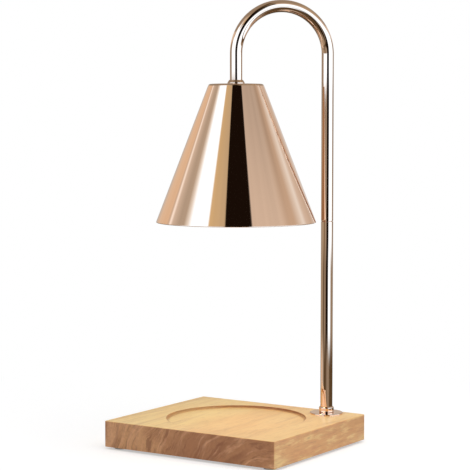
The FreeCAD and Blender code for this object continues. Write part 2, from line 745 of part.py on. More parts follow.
def make_bracket():
    """Hat-shaped strip: its crown hangs on the nipple and its feet carry the lampholder."""
    body = new_body("holder_bracket", z=HOLDER_TOP)
    sketch = new_sketch(body, "bracket_profile", "YZ_Plane")
    wall, top = "Sizes.bracket_thickness", "Sizes.bracket_height"
    span, reach = "Sizes.bracket_half_span", "Sizes.bracket_half_length"
    half = [(reach, "0"), (reach, wall), (span, wall), (span, top)]
    inner = [(f"{span} - {wall}", "0"), (f"{span} - {wall}", f"{top} - {wall}")]
    mirrored = [(f"-{x}", y) for x, y in reversed(half)]
    under = [(f"-({x})", y) for x, y in inner] + list(reversed(inner))
    outline(sketch, half + mirrored + under)
    pad(body, sketch, "Sizes.bracket_width", both_ways=True)
    holes = new_sketch(body, "bracket_holes")
    circle(holes, f"{STUD_DIAMETER} + 2 * Sizes.fit_clearance")
    for side in ("-", ""):
        circle(holes, "Sizes.holder_screw_diameter + 2 * Sizes.fit_clearance",
               "0", f"{side}Sizes.holder_screw_spacing / 2")
    pocket(body, holes, "2 * Sizes.bracket_height", along_normal=True)


def sector(body, name, width, low, high):
    """Cut an arc of the bulb's turn, as wide as given, around the pins' circle."""
    sketch = new_sketch(body, name, "XZ_Plane")
    middle = "Sizes.pin_spacing / 2"
    rectangle(sketch, f"{middle} - {width} / 2", f"{middle} + {width} / 2", low, high)
    before = body.Shape.Volume
    groove = body.newObject("PartDesign::Groove", name + "Groove")
    groove.Profile = sketch
    groove.ReferenceAxis = (sketch, ["V_Axis"])
    groove.Reversed = True
    groove.setExpression("Angle", "Sizes.bulb_turn")
    doc.recompute()
    if body.Shape.Volume > before - TOLERANCE:
        raise RuntimeError(f"{groove.Name} cuts nothing")
    return groove


def make_lampholder():
    """Ceramic disc with two keyhole slots that open into chambers behind its face."""
    body = new_body("lampholder", z=HOLDER_FACE)
    radius, edge = "Sizes.holder_diameter / 2", "Sizes.holder_chamfer"
    sketch = new_sketch(body, "holder_outline", "XZ_Plane")
    outline(sketch, [
        ("0", "0"), (f"{radius} - {edge}", "0"), (radius, edge),
        (radius, f"Sizes.holder_height - {edge}"),
        (f"{radius} - {edge}", "Sizes.holder_height"), ("0", "Sizes.holder_height"),
    ])
    revolve(body, sketch)

    lead_hole = new_sketch(body, "holder_lead_hole", offset="Sizes.holder_height")
    circle(lead_hole, LEAD_BORE)
    pocket(body, lead_hole, "Sizes.holder_hole_depth")
    screw_holes = new_sketch(body, "holder_screw_holes", offset="Sizes.holder_height")
    for side in ("-", ""):
        circle(screw_holes, "Sizes.holder_screw_diameter + 2 * Sizes.fit_clearance",
               "0", f"{side}Sizes.holder_screw_spacing / 2")
    pocket(body, screw_holes, "Sizes.holder_screw_length")

    locked = ("Sizes.pin_spacing / 2", "0")
    entry = ("Sizes.pin_spacing / 2 * cos(Sizes.bulb_turn)",
             "-Sizes.pin_spacing / 2 * sin(Sizes.bulb_turn)")
    face, depth = "Sizes.holder_face_thickness", "Sizes.holder_chamber_height"
    slot_width = "(Sizes.pin_diameter + 2 * Sizes.slot_clearance)"
    head_width = "(Sizes.pin_head_diameter + 2 * Sizes.slot_clearance)"
    room = "(Sizes.pin_head_diameter + 2 * Sizes.chamber_clearance)"
    cuts = [sector(body, "keyhole_arc", slot_width, "0", face),
            sector(body, "chamber_arc", room, face, f"{face} + {depth}")]
    for name, diameter, spot, offset, length in (
            ("keyhole_end", slot_width, locked, "0", face),
            ("keyhole_entry", head_width, entry, "0", face),
            ("chamber_end", room, locked, face, depth),
            ("chamber_entry", room, entry, face, depth)):
        hole = new_sketch(body, name, offset=offset)
        circle(hole, diameter, *spot)
        cuts.append(pocket(body, hole, length, along_normal=True))
    twin(body, cuts)


def make_holder_details():
    """Two screws that hold the ceramic to the bracket, and the two contact leaves inside it."""
    screws = new_body("holder_screws", z=HOLDER_TOP)
    for name, diameter, offset, length in (
            ("holder_screw_shank", "Sizes.holder_screw_diameter", "-Sizes.holder_screw_length",
             "Sizes.holder_screw_length + Sizes.bracket_thickness"),
            ("holder_screw_head", "Sizes.holder_screw_head_diameter", "Sizes.bracket_thickness",
             "Sizes.holder_screw_head_height")):
        sketch = new_sketch(screws, name, offset=offset)
        for side in ("-", ""):
            circle(sketch, diameter, "0", f"{side}Sizes.holder_screw_spacing / 2")
        pad(screws, sketch, length)

    contacts = new_body("holder_contacts", z=f"{CHAMBER_ROOF} - Sizes.contact_thickness")
    sketch = new_sketch(contacts, "contact_leaves")
    for side in ("-", ""):
        middle = f"{side}Sizes.pin_spacing / 2"
        rectangle(sketch, f"{middle} - Sizes.contact_width / 2",
                  f"{middle} + Sizes.contact_width / 2",
                  "-Sizes.contact_length / 2", "Sizes.contact_length / 2")
    pad(contacts, sketch, "Sizes.contact_thickness")


def make_bulb():
    """Reflector bulb: glass bowl, front lens, cap with two headed pins, and inner capsule."""
    outer = "(Sizes.bulb_diameter / 2)"
    lens = f"({outer} - Sizes.bulb_wall)"
    bowl_top = "(Sizes.bulb_length - Sizes.cap_length)"
    neck = "(Sizes.cap_diameter / 2)"
    hole = f"({neck} - Sizes.neck_wall)"
    shoulder = ("Sizes.bowl_shoulder_diameter / 2", "Sizes.bowl_shoulder_height")
    waist = ("Sizes.bowl_waist_diameter / 2", "Sizes.bowl_waist_height")
    turned("bulb_reflector", [
        (lens, "0"),
        (outer, "0"),
        (outer, "Sizes.bulb_rim_height"),
        shoulder,
        waist,
        (neck, bowl_top),
        (hole, bowl_top),
        (f"{waist[0]} - 2 * Sizes.bulb_wall", waist[1]),
        (f"{shoulder[0]} - 2 * Sizes.bulb_wall", shoulder[1]),
        (f"{lens} - Sizes.bulb_wall", "Sizes.lens_thickness"),
        (lens, "Sizes.lens_thickness"),
    ], z=BULB_FACE)
    sleeve_gap = "Sizes.fit_clearance"
    turned("bulb_lens", [
        ("0", "0"), (f"{lens} - {sleeve_gap}", "0"),
        (f"{lens} - {sleeve_gap}", "Sizes.lens_thickness"), ("0", "Sizes.lens_thickness"),
    ], z=BULB_FACE)
    plug = f"({hole} - {sleeve_gap})"
    depth = "Sizes.neck_depth"
    turned("bulb_base", [
        ("0", "0"), (plug, "0"), (plug, depth), (neck, depth),
        (neck, f"{depth} + Sizes.cap_length - Sizes.cap_taper_length"),
        (f"{neck} - Sizes.cap_taper", f"{depth} + Sizes.cap_length"),
        ("0", f"{depth} + Sizes.cap_length"),
    ], z=f"{CAP_BOTTOM} - {depth}")

    pins = new_body("bulb_pins", z=CAP_TOP)
    for name, diameter, offset, length in (
            ("pin_shank", "Sizes.pin_diameter", "0", "Sizes.pin_length"),
            ("pin_head", "Sizes.pin_head_diameter", "Sizes.pin_length - Sizes.pin_head_height",
             "Sizes.pin_head_height")):
        sketch = new_sketch(pins, name, offset=offset)
        for side in ("-", ""):
            circle(sketch, diameter, f"{side}Sizes.pin_spacing / 2")
        pad(pins, sketch, length)

    side, tip = "Sizes.capsule_diameter / 2", "Sizes.capsule_tip"
    turned("bulb_capsule", [
        ("0", "0"),
        (f"{side} - {tip}", "0"),
        (side, tip),
        (side, "Sizes.capsule_length"),
        ("0", "Sizes.capsule_length"),
    ], z=f"{CAP_BOTTOM} - {depth} - Sizes.capsule_length")


make_base_block()
make_feet()
make_cover()
make_cover_screws()
make_gland()
make_terminal_block()
make_pole_foot()
make_lower_pole()
make_swivel()
make_gooseneck()
make_leads()
make_shade()
make_shade_fixing()
make_bracket()
make_lampholder()
make_holder_details()
make_bulb()
doc.recompute()

for item in doc.Objects:
    if {"Invalid", "Error"} & set(item.State):
        raise RuntimeError(f"{item.Label} failed: {item.State}")
for piece in pieces:
    if piece.Shape.isNull() or not piece.Shape.isValid():
        raise RuntimeError(f"{piece.Label} has no valid shape")

os.makedirs("parts", exist_ok=True)
for piece in pieces:
    piece.Shape.exportStep(f"parts/{piece.Label}.step")
    print(f"{piece.Label}: {len(piece.Shape.Solids)} solid(s), {piece.Shape.Volume:.1f} mm3")
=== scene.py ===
"""Looks of the candle warmer lamp: wooden base, rose-gold pole and shade, reflector bulb.

Metres, +Z up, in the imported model's frame. The lamp's axis is the Z axis: bulb, shade and
candle recess share it. The pole stands behind it on the right.
"""

import json
import math
from itertools import pairwise

import bmesh
import bpy
from mathutils import Matrix, Vector


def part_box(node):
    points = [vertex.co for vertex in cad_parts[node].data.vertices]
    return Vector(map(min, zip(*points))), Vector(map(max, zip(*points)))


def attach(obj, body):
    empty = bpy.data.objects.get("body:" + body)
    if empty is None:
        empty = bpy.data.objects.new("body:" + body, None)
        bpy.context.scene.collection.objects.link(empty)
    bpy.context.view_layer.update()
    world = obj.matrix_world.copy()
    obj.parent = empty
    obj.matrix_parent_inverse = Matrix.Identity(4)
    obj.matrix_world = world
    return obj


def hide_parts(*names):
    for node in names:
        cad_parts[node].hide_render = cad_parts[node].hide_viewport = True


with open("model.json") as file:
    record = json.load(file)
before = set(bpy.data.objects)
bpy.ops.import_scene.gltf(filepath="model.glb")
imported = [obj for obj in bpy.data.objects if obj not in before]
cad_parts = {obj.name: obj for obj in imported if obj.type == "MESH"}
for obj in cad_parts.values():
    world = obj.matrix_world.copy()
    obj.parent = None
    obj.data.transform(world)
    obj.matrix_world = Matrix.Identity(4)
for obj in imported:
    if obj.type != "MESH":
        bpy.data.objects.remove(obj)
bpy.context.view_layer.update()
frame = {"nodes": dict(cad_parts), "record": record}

MM = 0.001
UP = Vector((0, 0, 1))

# Camera.
CAMERA_PLACE = Vector((0.70687, -1.08174, 0.25666))
CAMERA_TURN = math.radians(33.20)
CAMERA_TILT = math.radians(4.093)
SENSOR_WIDTH = 36.0
LENS = 128.58

# Lamps and sky.
SKY = (0.46, 0.46, 0.46)
KEY_LEVEL = 0.80
KEY_DIRECTION = Vector((0.30, -0.08, 0.95))
KEY_DISTANCE = 1.3
KEY_SIZE = 1.7
BULB_LIGHT_COLOUR = (1.0, 0.74, 0.38)
BULB_LIGHT_POWER = 0.5
BULB_LIGHT_ANGLE = math.radians(75)
BULB_LIGHT_RADIUS = 20 * MM
BULB_LIGHT_DROP = 2 * MM

# Floor: its shadow fades out, and the metal stops mirroring it, between two distances from
# the lamp's axis.
FLOOR_RADIUS = 3.0
SHADOW_FADE = (120 * MM, 400 * MM)
MIRROR_FADE = (120 * MM, 200 * MM)
SHADOW_LIFT = 0.4
PAPER = (0.72, 0.72, 0.72)
PAPER_GLOW = (0.12, 0.12, 0.12)
WHITE = (1, 1, 1)
NO_LIGHT = (0, 0, 0)

# Studio: azimuths are measured from the side that faces the camera, positive to its right.
CAMERA_SIDE = Vector((math.sin(CAMERA_TURN), -math.cos(CAMERA_TURN), 0))
CAMERA_RIGHT = Vector((math.cos(CAMERA_TURN), math.sin(CAMERA_TURN), 0))

# Colours of the walls and softboxes that the polished metal mirrors.
SOFTBOX = (1.30, 1.85, 2.55)
EDGE_LIGHT = (1.20, 1.32, 1.46)
RIM_LIGHT = (0.90, 1.03, 1.15)
TAN = (0.74, 0.73, 0.72)
DEEP_TAN = (0.52, 0.51, 0.48)
DUSK = (0.42, 0.41, 0.37)
PEACH = (0.84, 0.71, 0.57)
CLAY = (0.66, 0.60, 0.54)
STRAW = (0.62, 0.57, 0.43)
SAND = (0.73, 0.64, 0.41)
OLIVE = (0.46, 0.42, 0.33)
UMBER = (0.33, 0.31, 0.27)
BARK = (0.23, 0.19, 0.14)
DARK_BROWN = (0.105, 0.079, 0.045)
BLACK = (0.010, 0.006, 0.004)

# What the metal mirrors. Each row lies above the heights at which it fades in, from the floor
# up, and holds (azimuth in degrees, colour). A height is the sine of the elevation.
STUDIO_ROWS = (
    (-0.76, -0.62, (
        (-180, DARK_BROWN), (-130, DARK_BROWN), (-92, CLAY), (-70, OLIVE), (-30, DARK_BROWN),
        (40, DARK_BROWN), (75, UMBER), (100, CLAY), (150, DARK_BROWN), (180, DARK_BROWN))),
    (-0.47, -0.37, (
        (-180, DARK_BROWN), (-130, UMBER), (-95, CLAY), (-70, OLIVE), (-34, UMBER),
        (-22, DARK_BROWN), (-14, BLACK), (18, BLACK), (25, SOFTBOX), (100, SOFTBOX),
        (115, CLAY), (150, UMBER), (180, DARK_BROWN))),
    (-0.215, -0.195, (
        (-180, DARK_BROWN), (-140, UMBER), (-118, PEACH), (-92, TAN), (-66, UMBER),
        (-50, DARK_BROWN), (-24, DARK_BROWN), (8, UMBER), (34, UMBER), (58, DARK_BROWN),
        (100, DARK_BROWN), (180, DARK_BROWN))),
    (-0.150, -0.125, (
        (-180, UMBER), (-150, UMBER), (-105, OLIVE), (-88, UMBER), (-70, DARK_BROWN),
        (-45, UMBER), (-30, UMBER), (-22, BLACK), (14, BLACK), (26, SOFTBOX), (60, SOFTBOX),
        (76, UMBER), (180, UMBER))),
    (-0.095, -0.070, (
        (-180, UMBER), (-150, DUSK), (-98, DUSK), (-76, OLIVE), (-56, BARK), (-48, BARK),
        (-34, DUSK), (-21, DUSK), (-11, BLACK), (22, BLACK), (30, SOFTBOX), (92, SOFTBOX),
        (104, UMBER), (180, UMBER))),
    (0.010, 0.030, (
        (-180, CLAY), (-165, UMBER), (-96, UMBER), (-82, SOFTBOX), (-20, SOFTBOX), (-15, BLACK),
        (18, BLACK), (24, SOFTBOX), (98, SOFTBOX), (112, UMBER), (165, UMBER), (180, CLAY))),
    (0.50, 0.56, (
        (-180, UMBER), (-100, UMBER), (-50, TAN), (-24, OLIVE), (-12, BLACK), (6, BLACK),
        (16, OLIVE), (90, OLIVE), (180, UMBER))),
    (0.76, 0.86, (
        (-180, UMBER), (-40, UMBER), (-12, DARK_BROWN), (8, DARK_BROWN), (40, UMBER),
        (180, UMBER))),
)
# What the shade's cone mirrors: a strip that starts high in front and sinks to the horizon.
SHADE_STRIP = (
    (-180, DUSK), (-172, DEEP_TAN), (-162, CLAY), (-146, PEACH), (-124, PEACH), (-119, CLAY),
    (-115, EDGE_LIGHT), (-110, TAN), (-96, DEEP_TAN), (-87, DEEP_TAN), (-80, RIM_LIGHT),
    (-73, SOFTBOX), (-46.5, SOFTBOX), (-43.5, SAND), (-18.5, STRAW), (-17.5, BLACK),
    (25, BLACK), (26.5, TAN), (76, TAN), (90, CLAY), (100, CLAY), (119, RIM_LIGHT), (127, TAN),
    (140, CLAY), (160, TAN), (180, TAN),
)
# The strip's middle line lies at STRIP_RISE in front, and it reaches STRIP_HEIGHT up and down.
STRIP_RISE = 0.668
STRIP_HEIGHT = 0.11
STRIP_EDGE = 0.03
# Its right side darkens upwards, between two shares of the way round from behind.
STRIP_DIMMING = 0.26
DIMMING_STARTS = (0.51, 0.53)
DIMMING_ENDS = (0.80, 0.74)
DIMMING_HEIGHTS = (-0.045, 0.040)
STRIP_CLOUDING = 0.06


class Wire:
    """An output socket of a node tree. Arithmetic on it adds Math nodes to the tree."""

    def __init__(self, graph, socket):
        self.graph = graph
        self.socket = socket

    def math(self, operation, *terms):
        return self.graph.node("ShaderNodeMath", {"operation": operation}, dict(enumerate(terms)))

    def __add__(self, other):
        return self.math("ADD", self, other)

    def __radd__(self, other):
        return self.math("ADD", other, self)

    def __sub__(self, other):
        return self.math("SUBTRACT", self, other)

    def __rsub__(self, other):
        return self.math("SUBTRACT", other, self)

    def __mul__(self, other):
        return self.math("MULTIPLY", self, other)

    def __rmul__(self, other):
        return self.math("MULTIPLY", other, self)

    def __truediv__(self, other):
        return self.math("DIVIDE", self, other)

    def __rtruediv__(self, other):
        return self.math("DIVIDE", other, self)

    def __pow__(self, other):
        return self.math("POWER", self, other)

    def __rpow__(self, other):
        return self.math("POWER", other, self)

    def rise(self, low, high):
        """0 below low, 1 above high, a smooth step in between; the other way if low is above."""
        sockets = {"Value": self, "From Min": low, "From Max": high}
        return self.graph.node("ShaderNodeMapRange", {"interpolation_type": "SMOOTHSTEP"}, sockets)


class Graph:
    """The node tree of a material, of the world or of a Geometry Nodes modifier."""

    def __init__(self, tree):
        self.tree = tree
        tree.nodes.clear()

    def node(self, kind, settings=None, sockets=None, output=0):
        """Add a node: its settings first, then the value or link of each socket in use."""
        new = self.tree.nodes.new(kind)
        for name, value in (settings or {}).items():
            if name == "stops":
                self.fill_ramp(new.color_ramp, value)
            else:
                setattr(new, name, value)
        for key, value in (sockets or {}).items():
            socket = self.pick(new.inputs, key)
            if isinstance(value, Wire):
                self.tree.links.new(value.socket, socket)
            else:
                socket.default_value = value
        return Wire(self, self.pick(new.outputs, output)) if new.outputs else None

    @staticmethod
    def pick(sockets, key):
        """The socket of that name or number among those that the node's settings show."""
        shown = [socket for socket in sockets if socket.enabled]
        return shown[key] if isinstance(key, int) else next(s for s in shown if s.name == key)

    @staticmethod
    def fill_ramp(ramp, stops):
        while len(ramp.elements) < len(stops):
            ramp.elements.new(1)
        for element, (position, colour) in zip(ramp.elements, stops):
            element.position = position
            element.color = (*colour, 1)

    def mix(self, share, first, second):
        """The first colour where share is 0, the second where it is 1."""
        return self.node("ShaderNodeMix", {"data_type": "RGBA"},
                         {"Factor": share, "A": opaque(first), "B": opaque(second)})

    def noise(self, place, scale, stretch=(1, 1, 1), detail=3, roughness=0.5):
        """Noise from 0 to 1, with scale cells in a metre, drawn out where stretch is small."""
        where = self.node("ShaderNodeVectorMath", {"operation": "MULTIPLY"}, {0: place, 1: stretch})
        return self.node("ShaderNodeTexNoise", None,
                         {"Vector": where, "Scale": scale, "Detail": detail, "Roughness": roughness})

    def bump(self, height, distance, strength=1.0):
        return self.node("ShaderNodeBump", None,
                         {"Height": height, "Distance": distance, "Strength": strength})


def opaque(colour):
    """A colour as four numbers; a link stays as it is."""
    return colour if isinstance(colour, Wire) else (*colour, 1)


def surface(name):
    """A new material's graph, and the place of each point in its piece's own coordinates."""
    material = bpy.data.materials.new(name)
    material.use_nodes = True
    graph = Graph(material.node_tree)
    return material, graph, graph.node("ShaderNodeTexCoord", output="Object")


def axes(graph, vector):
    """The three parts of a vector."""
    return [graph.node("ShaderNodeSeparateXYZ", None, {0: vector}, output=axis) for axis in "XYZ"]


def length_of(graph, vector):
    return graph.node("ShaderNodeVectorMath", {"operation": "LENGTH"}, {0: vector})


def level_part(graph, vector):
    """A vector without its upward part."""
    return graph.node("ShaderNodeVectorMath", {"operation": "MULTIPLY"}, {0: vector, 1: (1, 1, 0)})


def dot_product(graph, first, second):
    return graph.node("ShaderNodeVectorMath", {"operation": "DOT_PRODUCT"}, {0: first, 1: second})


def show(thing):
    bpy.context.scene.collection.objects.link(thing)


# Camera, world, lamps and floor.

def make_camera():
    data = bpy.data.cameras.new("camera")
    data.sensor_width = SENSOR_WIDTH
    data.lens = LENS
    camera = bpy.data.objects.new("camera", data)
    camera.location = CAMERA_PLACE
    camera.rotation_euler = (math.pi / 2 - CAMERA_TILT, 0, CAMERA_TURN)
    show(camera)
    bpy.context.scene.camera = camera


def bands(graph, turn, stops):
    """A colour for each azimuth; turn runs from 0 to 1 once round."""
    placed = [(azimuth / 360 + 0.5, colour) for azimuth, colour in stops]
    return graph.node("ShaderNodeValToRGB", {"stops": placed}, {0: turn})


def studio_colour(graph):
    """What lies in each direction for polished metal: rows of walls, and the shade's strip."""
    direction = graph.node("ShaderNodeTexCoord", output="Generated")
    near = dot_product(graph, direction, CAMERA_SIDE)
    right = dot_product(graph, direction, CAMERA_RIGHT)
    height = axes(graph, direction)[2]
    azimuth = near.math("ARCTAN2", right, near)
    turn = azimuth / math.tau + 0.5

    studio = DARK_BROWN
    for low, high, stops in STUDIO_ROWS:
        studio = graph.mix(height.rise(low, high), studio, bands(graph, turn, stops))
    over_strip = height - STRIP_RISE * near.math("COSINE", azimuth / 2)
    on_right = turn.rise(*DIMMING_STARTS) * turn.rise(*DIMMING_ENDS)
    dimming = STRIP_DIMMING * over_strip.rise(*DIMMING_HEIGHTS) * on_right
    clouds = graph.noise(direction, 5, detail=2).rise(0.35, 0.65)
    strip = graph.mix(dimming + STRIP_CLOUDING * clouds, bands(graph, turn, SHADE_STRIP), BLACK)
    inside = STRIP_HEIGHT - over_strip.math("ABSOLUTE", over_strip)
    return graph.mix(inside.rise(0, STRIP_EDGE), studio, strip)


def make_world():
    """White for the camera, an even sky for matt surfaces, and a studio for polished ones."""
    world = bpy.data.worlds.new("studio")
    bpy.context.scene.world = world
    world.use_nodes = True
    graph = Graph(world.node_tree)
    camera_ray, clear_ray, glossy_ray = (
        graph.node("ShaderNodeLightPath", output=kind)
        for kind in ("Is Camera Ray", "Is Transmission Ray", "Is Glossy Ray"))
    colour = graph.mix(glossy_ray, SKY, studio_colour(graph))
    colour = graph.mix(camera_ray.math("MAXIMUM", camera_ray, clear_ray), colour, WHITE)
    background = graph.node("ShaderNodeBackground", None, {"Color": colour})
    graph.node("ShaderNodeOutputWorld", None, {"Surface": background})


def make_key_lamp():
    """One large soft lamp above on the right. White that faces it is as bright as KEY_LEVEL."""
    data = bpy.data.lights.new("key_lamp", "AREA")
    data.shape = "DISK"
    data.size = KEY_SIZE
    data.energy = KEY_LEVEL * math.pi ** 2 * KEY_DISTANCE ** 2
    lamp = bpy.data.objects.new("key_lamp", data)
    toward = KEY_DIRECTION.normalized()
    lamp.location = toward * KEY_DISTANCE
    lamp.rotation_euler = toward.to_track_quat("Z", "Y").to_euler()
    lamp.visible_glossy = False
    show(lamp)


def make_bulb_light():
    """The bulb's own light on the recess."""
    data = bpy.data.lights.new("bulb_light", "SPOT")
    data.color = BULB_LIGHT_COLOUR
    data.energy = BULB_LIGHT_POWER
    data.spot_size = BULB_LIGHT_ANGLE
    data.spot_blend = 1.0
    data.shadow_soft_size = BULB_LIGHT_RADIUS
    glow = bpy.data.objects.new("bulb_light", data)
    glow.location = (0, 0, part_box("bulb_lens")[0].z - BULB_LIGHT_DROP)
    show(glow)
    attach(glow, "bulb")


def floor_material():
    """White paper that keeps a light shadow. The metal mirrors it only close to the lamp."""
    material, graph, place = surface("floor_paper")
    distance = length_of(graph, place)
    camera_ray = graph.node("ShaderNodeLightPath", output="Is Camera Ray")
    glossy_ray = graph.node("ShaderNodeLightPath", output="Is Glossy Ray")
    paper = graph.node("ShaderNodeBsdfPrincipled", None, {
        "Base Color": graph.mix(camera_ray, PAPER, WHITE),
        "Roughness": 0.9,
        "Specular IOR Level": 0.0,
        "Emission Color": graph.mix(camera_ray, NO_LIGHT, PAPER_GLOW),
        "Emission Strength": 1.0,
    })
    white = graph.node("ShaderNodeEmission", None, {"Color": opaque(WHITE)})
    whiteness = SHADOW_LIFT + (1 - SHADOW_LIFT) * distance.rise(*SHADOW_FADE)
    seen = graph.node("ShaderNodeMixShader", None, {0: camera_ray * whiteness, 1: paper, 2: white})
    nothing = graph.node("ShaderNodeBsdfTransparent")
    unseen = glossy_ray * distance.rise(*MIRROR_FADE)
    shader = graph.node("ShaderNodeMixShader", None, {0: unseen, 1: seen, 2: nothing})
    graph.node("ShaderNodeOutputMaterial", None, {"Surface": shader})
    return material


def make_floor():
    mesh = bpy.data.meshes.new("floor")
    build = bmesh.new()
    bmesh.ops.create_circle(build, cap_ends=True, radius=FLOOR_RADIUS, segments=96)
    build.to_mesh(mesh)
    build.free()
    mesh.materials.append(floor_material())
    floor = bpy.data.objects.new("floor", mesh)
    show(floor)


# Materials.

def finish_surface(graph, sockets):
    shader = graph.node("ShaderNodeBsdfPrincipled", None, sockets)
    graph.node("ShaderNodeOutputMaterial", None, {"Surface": shader})


def polished_rose_gold():
    """Mirror plating with faint polishing marks and a slight drift in its tint."""
    material, graph, place = surface("polished_rose_gold")
    drift = graph.noise(place, 14, detail=2)
    marks = graph.noise(place, 900, stretch=(1, 1, 0.04), detail=2)
    finish_surface(graph, {
        "Base Color": graph.mix(drift, (0.905, 0.630, 0.455), (0.880, 0.600, 0.425)),
        "Metallic": 1.0,
        "Roughness": 0.022 + 0.02 * marks.rise(0.45, 0.75) + 0.012 * drift,
    })
    return material


def satin_rose_gold():
    """The shade's inside: the same plating on unpolished, spun metal."""
    material, graph, place = surface("satin_rose_gold")
    rings = graph.noise(place, 1500, stretch=(0.02, 0.02, 1), detail=2)
    finish_surface(graph, {
        "Base Color": graph.mix(rings, (0.86, 0.62, 0.46), (0.78, 0.54, 0.40)),
        "Metallic": 1.0,
        "Roughness": 0.30 + 0.12 * rings,
        "Normal": graph.bump(rings, 0.01 * MM, 0.6),
    })
    return material


# The board's growth rings bend round a pith that lies beside and below it.
PITH_ACROSS = 88 * MM
PITH_HEIGHT = -58 * MM
RING_SPACING = 12 * MM
RING_SWAY = 34 * MM
RING_RIPPLE = 5 * MM
# The darker heartwood lies between these distances from the pith.
HEART_OUTSIDE = (140 * MM, 115 * MM)
HEART_INSIDE = (74 * MM, 92 * MM)
# Painted shade: the recess's floor, and not the board's underside, darkens towards its wall.
RECESS_RADIUS = 54.3 * MM
RECESS_SHADE_INSIDE = (RECESS_RADIUS - 3 * MM, RECESS_RADIUS - 0.8 * MM)
RECESS_SHADE_OUTSIDE = (RECESS_RADIUS + 0.25 * MM, RECESS_RADIUS + 0.05 * MM)
RECESS_SHADE_HEIGHTS = (19.2 * MM, 19.9 * MM)

# Painted light: the top gets lighter, yellower copies of the sides' wood colours, for the sheen and
# the bulb's warm light that it catches.
SIDE_WOOD = ((0.89, 0.600, 0.275), (0.79, 0.410, 0.165))
LIT_TOP_WOOD = ((1.00, 0.750, 0.340), (0.95, 0.630, 0.250))
END_WOOD = ((0.66, 0.335, 0.148), (0.50, 0.220, 0.090))
RUDDY_WOOD = (0.68, 0.295, 0.130)
GOLDEN_WOOD = (0.97, 0.680, 0.290)
HEARTWOOD = (0.90, 0.500, 0.250)
LATEWOOD = (0.55, 0.250, 0.100)
STREAK = (0.52, 0.240, 0.100)
FIBRE = (0.50, 0.250, 0.110)
END_HEARTWOOD = (0.38, 0.150, 0.060)
END_LATEWOOD = (0.26, 0.082, 0.028)
END_STREAK = (0.25, 0.085, 0.032)
END_GLEAM = (0.76, 0.400, 0.205)
END_FLECK = (0.29, 0.112, 0.045)
PORE = (0.22, 0.095, 0.040)
RECESS_SHADE = (0.42, 0.180, 0.065)


def layered(graph, colour, *layers):
    """A colour with tints laid over it one by one, each given as (share, tint)."""
    for share, tint in layers:
        colour = graph.mix(share, colour, tint)
    return colour


def oiled_wood():
    """Pale wood with its grain along Y: growth rings on the ends, streaks along the sides."""
    material, graph, place = surface("oiled_wood")
    across, along, up = axes(graph, place)
    beside, above = across - PITH_ACROSS, up - PITH_HEIGHT
    sway = graph.noise(place, 15, stretch=(1, 0.2, 1), detail=2) - 0.5
    ripple = graph.noise(place, 90, stretch=(1, 0.06, 1), detail=4, roughness=0.55) - 0.5
    radius = (beside * beside + above * above) ** 0.5 + RING_SWAY * sway + RING_RIPPLE * ripple
    angle = beside.math("ARCTAN2", beside, above)
    ring = radius.math("FRACT", radius / RING_SPACING)
    patchy = graph.noise(place, 34, stretch=(1, 0.15, 1), detail=4, roughness=0.6)
    late = ring.rise(0.1, 0.86) * ring.rise(1.0, 0.88) * patchy.rise(0.42, 0.66)
    heart = radius.rise(*HEART_OUTSIDE) * radius.rise(*HEART_INSIDE)

    # Streaks lie along the rings: their place is (ring radius, way round, way along).
    ring_place = graph.node("ShaderNodeCombineXYZ", None,
                            {"X": radius, "Y": 0.016 * angle, "Z": 0.05 * along})
    streak = graph.noise(ring_place, 420, detail=5, roughness=0.7)
    gleam = graph.noise(ring_place, 170, detail=3, roughness=0.6)
    fibre = graph.noise(place, 1100, stretch=(1, 0.03, 1), detail=3, roughness=0.6)
    pores = graph.noise(place, 1500, stretch=(1, 0.06, 1), detail=1).rise(0.62, 0.72)
    cloud = graph.noise(place, 22, stretch=(1, 0.4, 1), detail=5, roughness=0.6)
    fleck = graph.noise(place, 420, stretch=(1, 0.12, 1), detail=3)
    ruddy = graph.noise(place, 130, stretch=(1, 0.3, 1.6), detail=4, roughness=0.66)

    facing, tilt = axes(graph, graph.node("ShaderNodeNewGeometry", output="Normal"))[1:]
    end_face = facing.math("ABSOLUTE", facing).rise(0.5, 0.9)
    wild = 0.60 * tilt.rise(-0.9, -0.5) + 0.12
    side = layered(graph, graph.mix(cloud.rise(0.40, 0.60), *SIDE_WOOD),
                   (wild * ruddy.rise(0.50, 0.66), RUDDY_WOOD),
                   (wild * ruddy.rise(0.50, 0.36), GOLDEN_WOOD))
    # Painted light: upward faces take the lighter top colours.
    top = graph.mix(cloud.rise(0.35, 0.65), *LIT_TOP_WOOD)
    face_colour = layered(graph, graph.mix(tilt.rise(0.5, 0.9), side, top),
                          (0.34 * heart, HEARTWOOD),
                          (0.30 * late, LATEWOOD),
                          (0.30 * streak.rise(0.46, 0.72), STREAK),
                          (0.16 * fibre.rise(0.45, 0.8), FIBRE))
    end_colour = layered(graph, graph.mix(cloud.rise(0.38, 0.62), *END_WOOD),
                         (0.50 * heart, END_HEARTWOOD),
                         (0.55 * late, END_LATEWOOD),
                         (0.64 * streak.rise(0.48, 0.66), END_STREAK),
                         (0.70 * gleam.rise(0.50, 0.68), END_GLEAM),
                         (0.20 * fleck.rise(0.42, 0.7), END_FLECK))
    from_axis = (across * across + along * along) ** 0.5
    # Painted shade where the recess's floor meets its wall.
    shaded = (from_axis.rise(*RECESS_SHADE_INSIDE) * from_axis.rise(*RECESS_SHADE_OUTSIDE)
              * up.rise(*RECESS_SHADE_HEIGHTS))
    finish_surface(graph, {
        "Base Color": layered(graph, graph.mix(end_face, face_colour, end_colour),
                              (0.25 * pores, PORE), (0.62 * shaded, RECESS_SHADE)),
        "Roughness": 0.34 + 0.16 * fibre + 0.10 * end_face,
        "Coat Weight": 0.14 * (1 - end_face),
        "Coat Roughness": 0.18,
        "Normal": graph.bump(fibre - 0.8 * pores, 0.06 * MM, 0.6),
    })
    return material


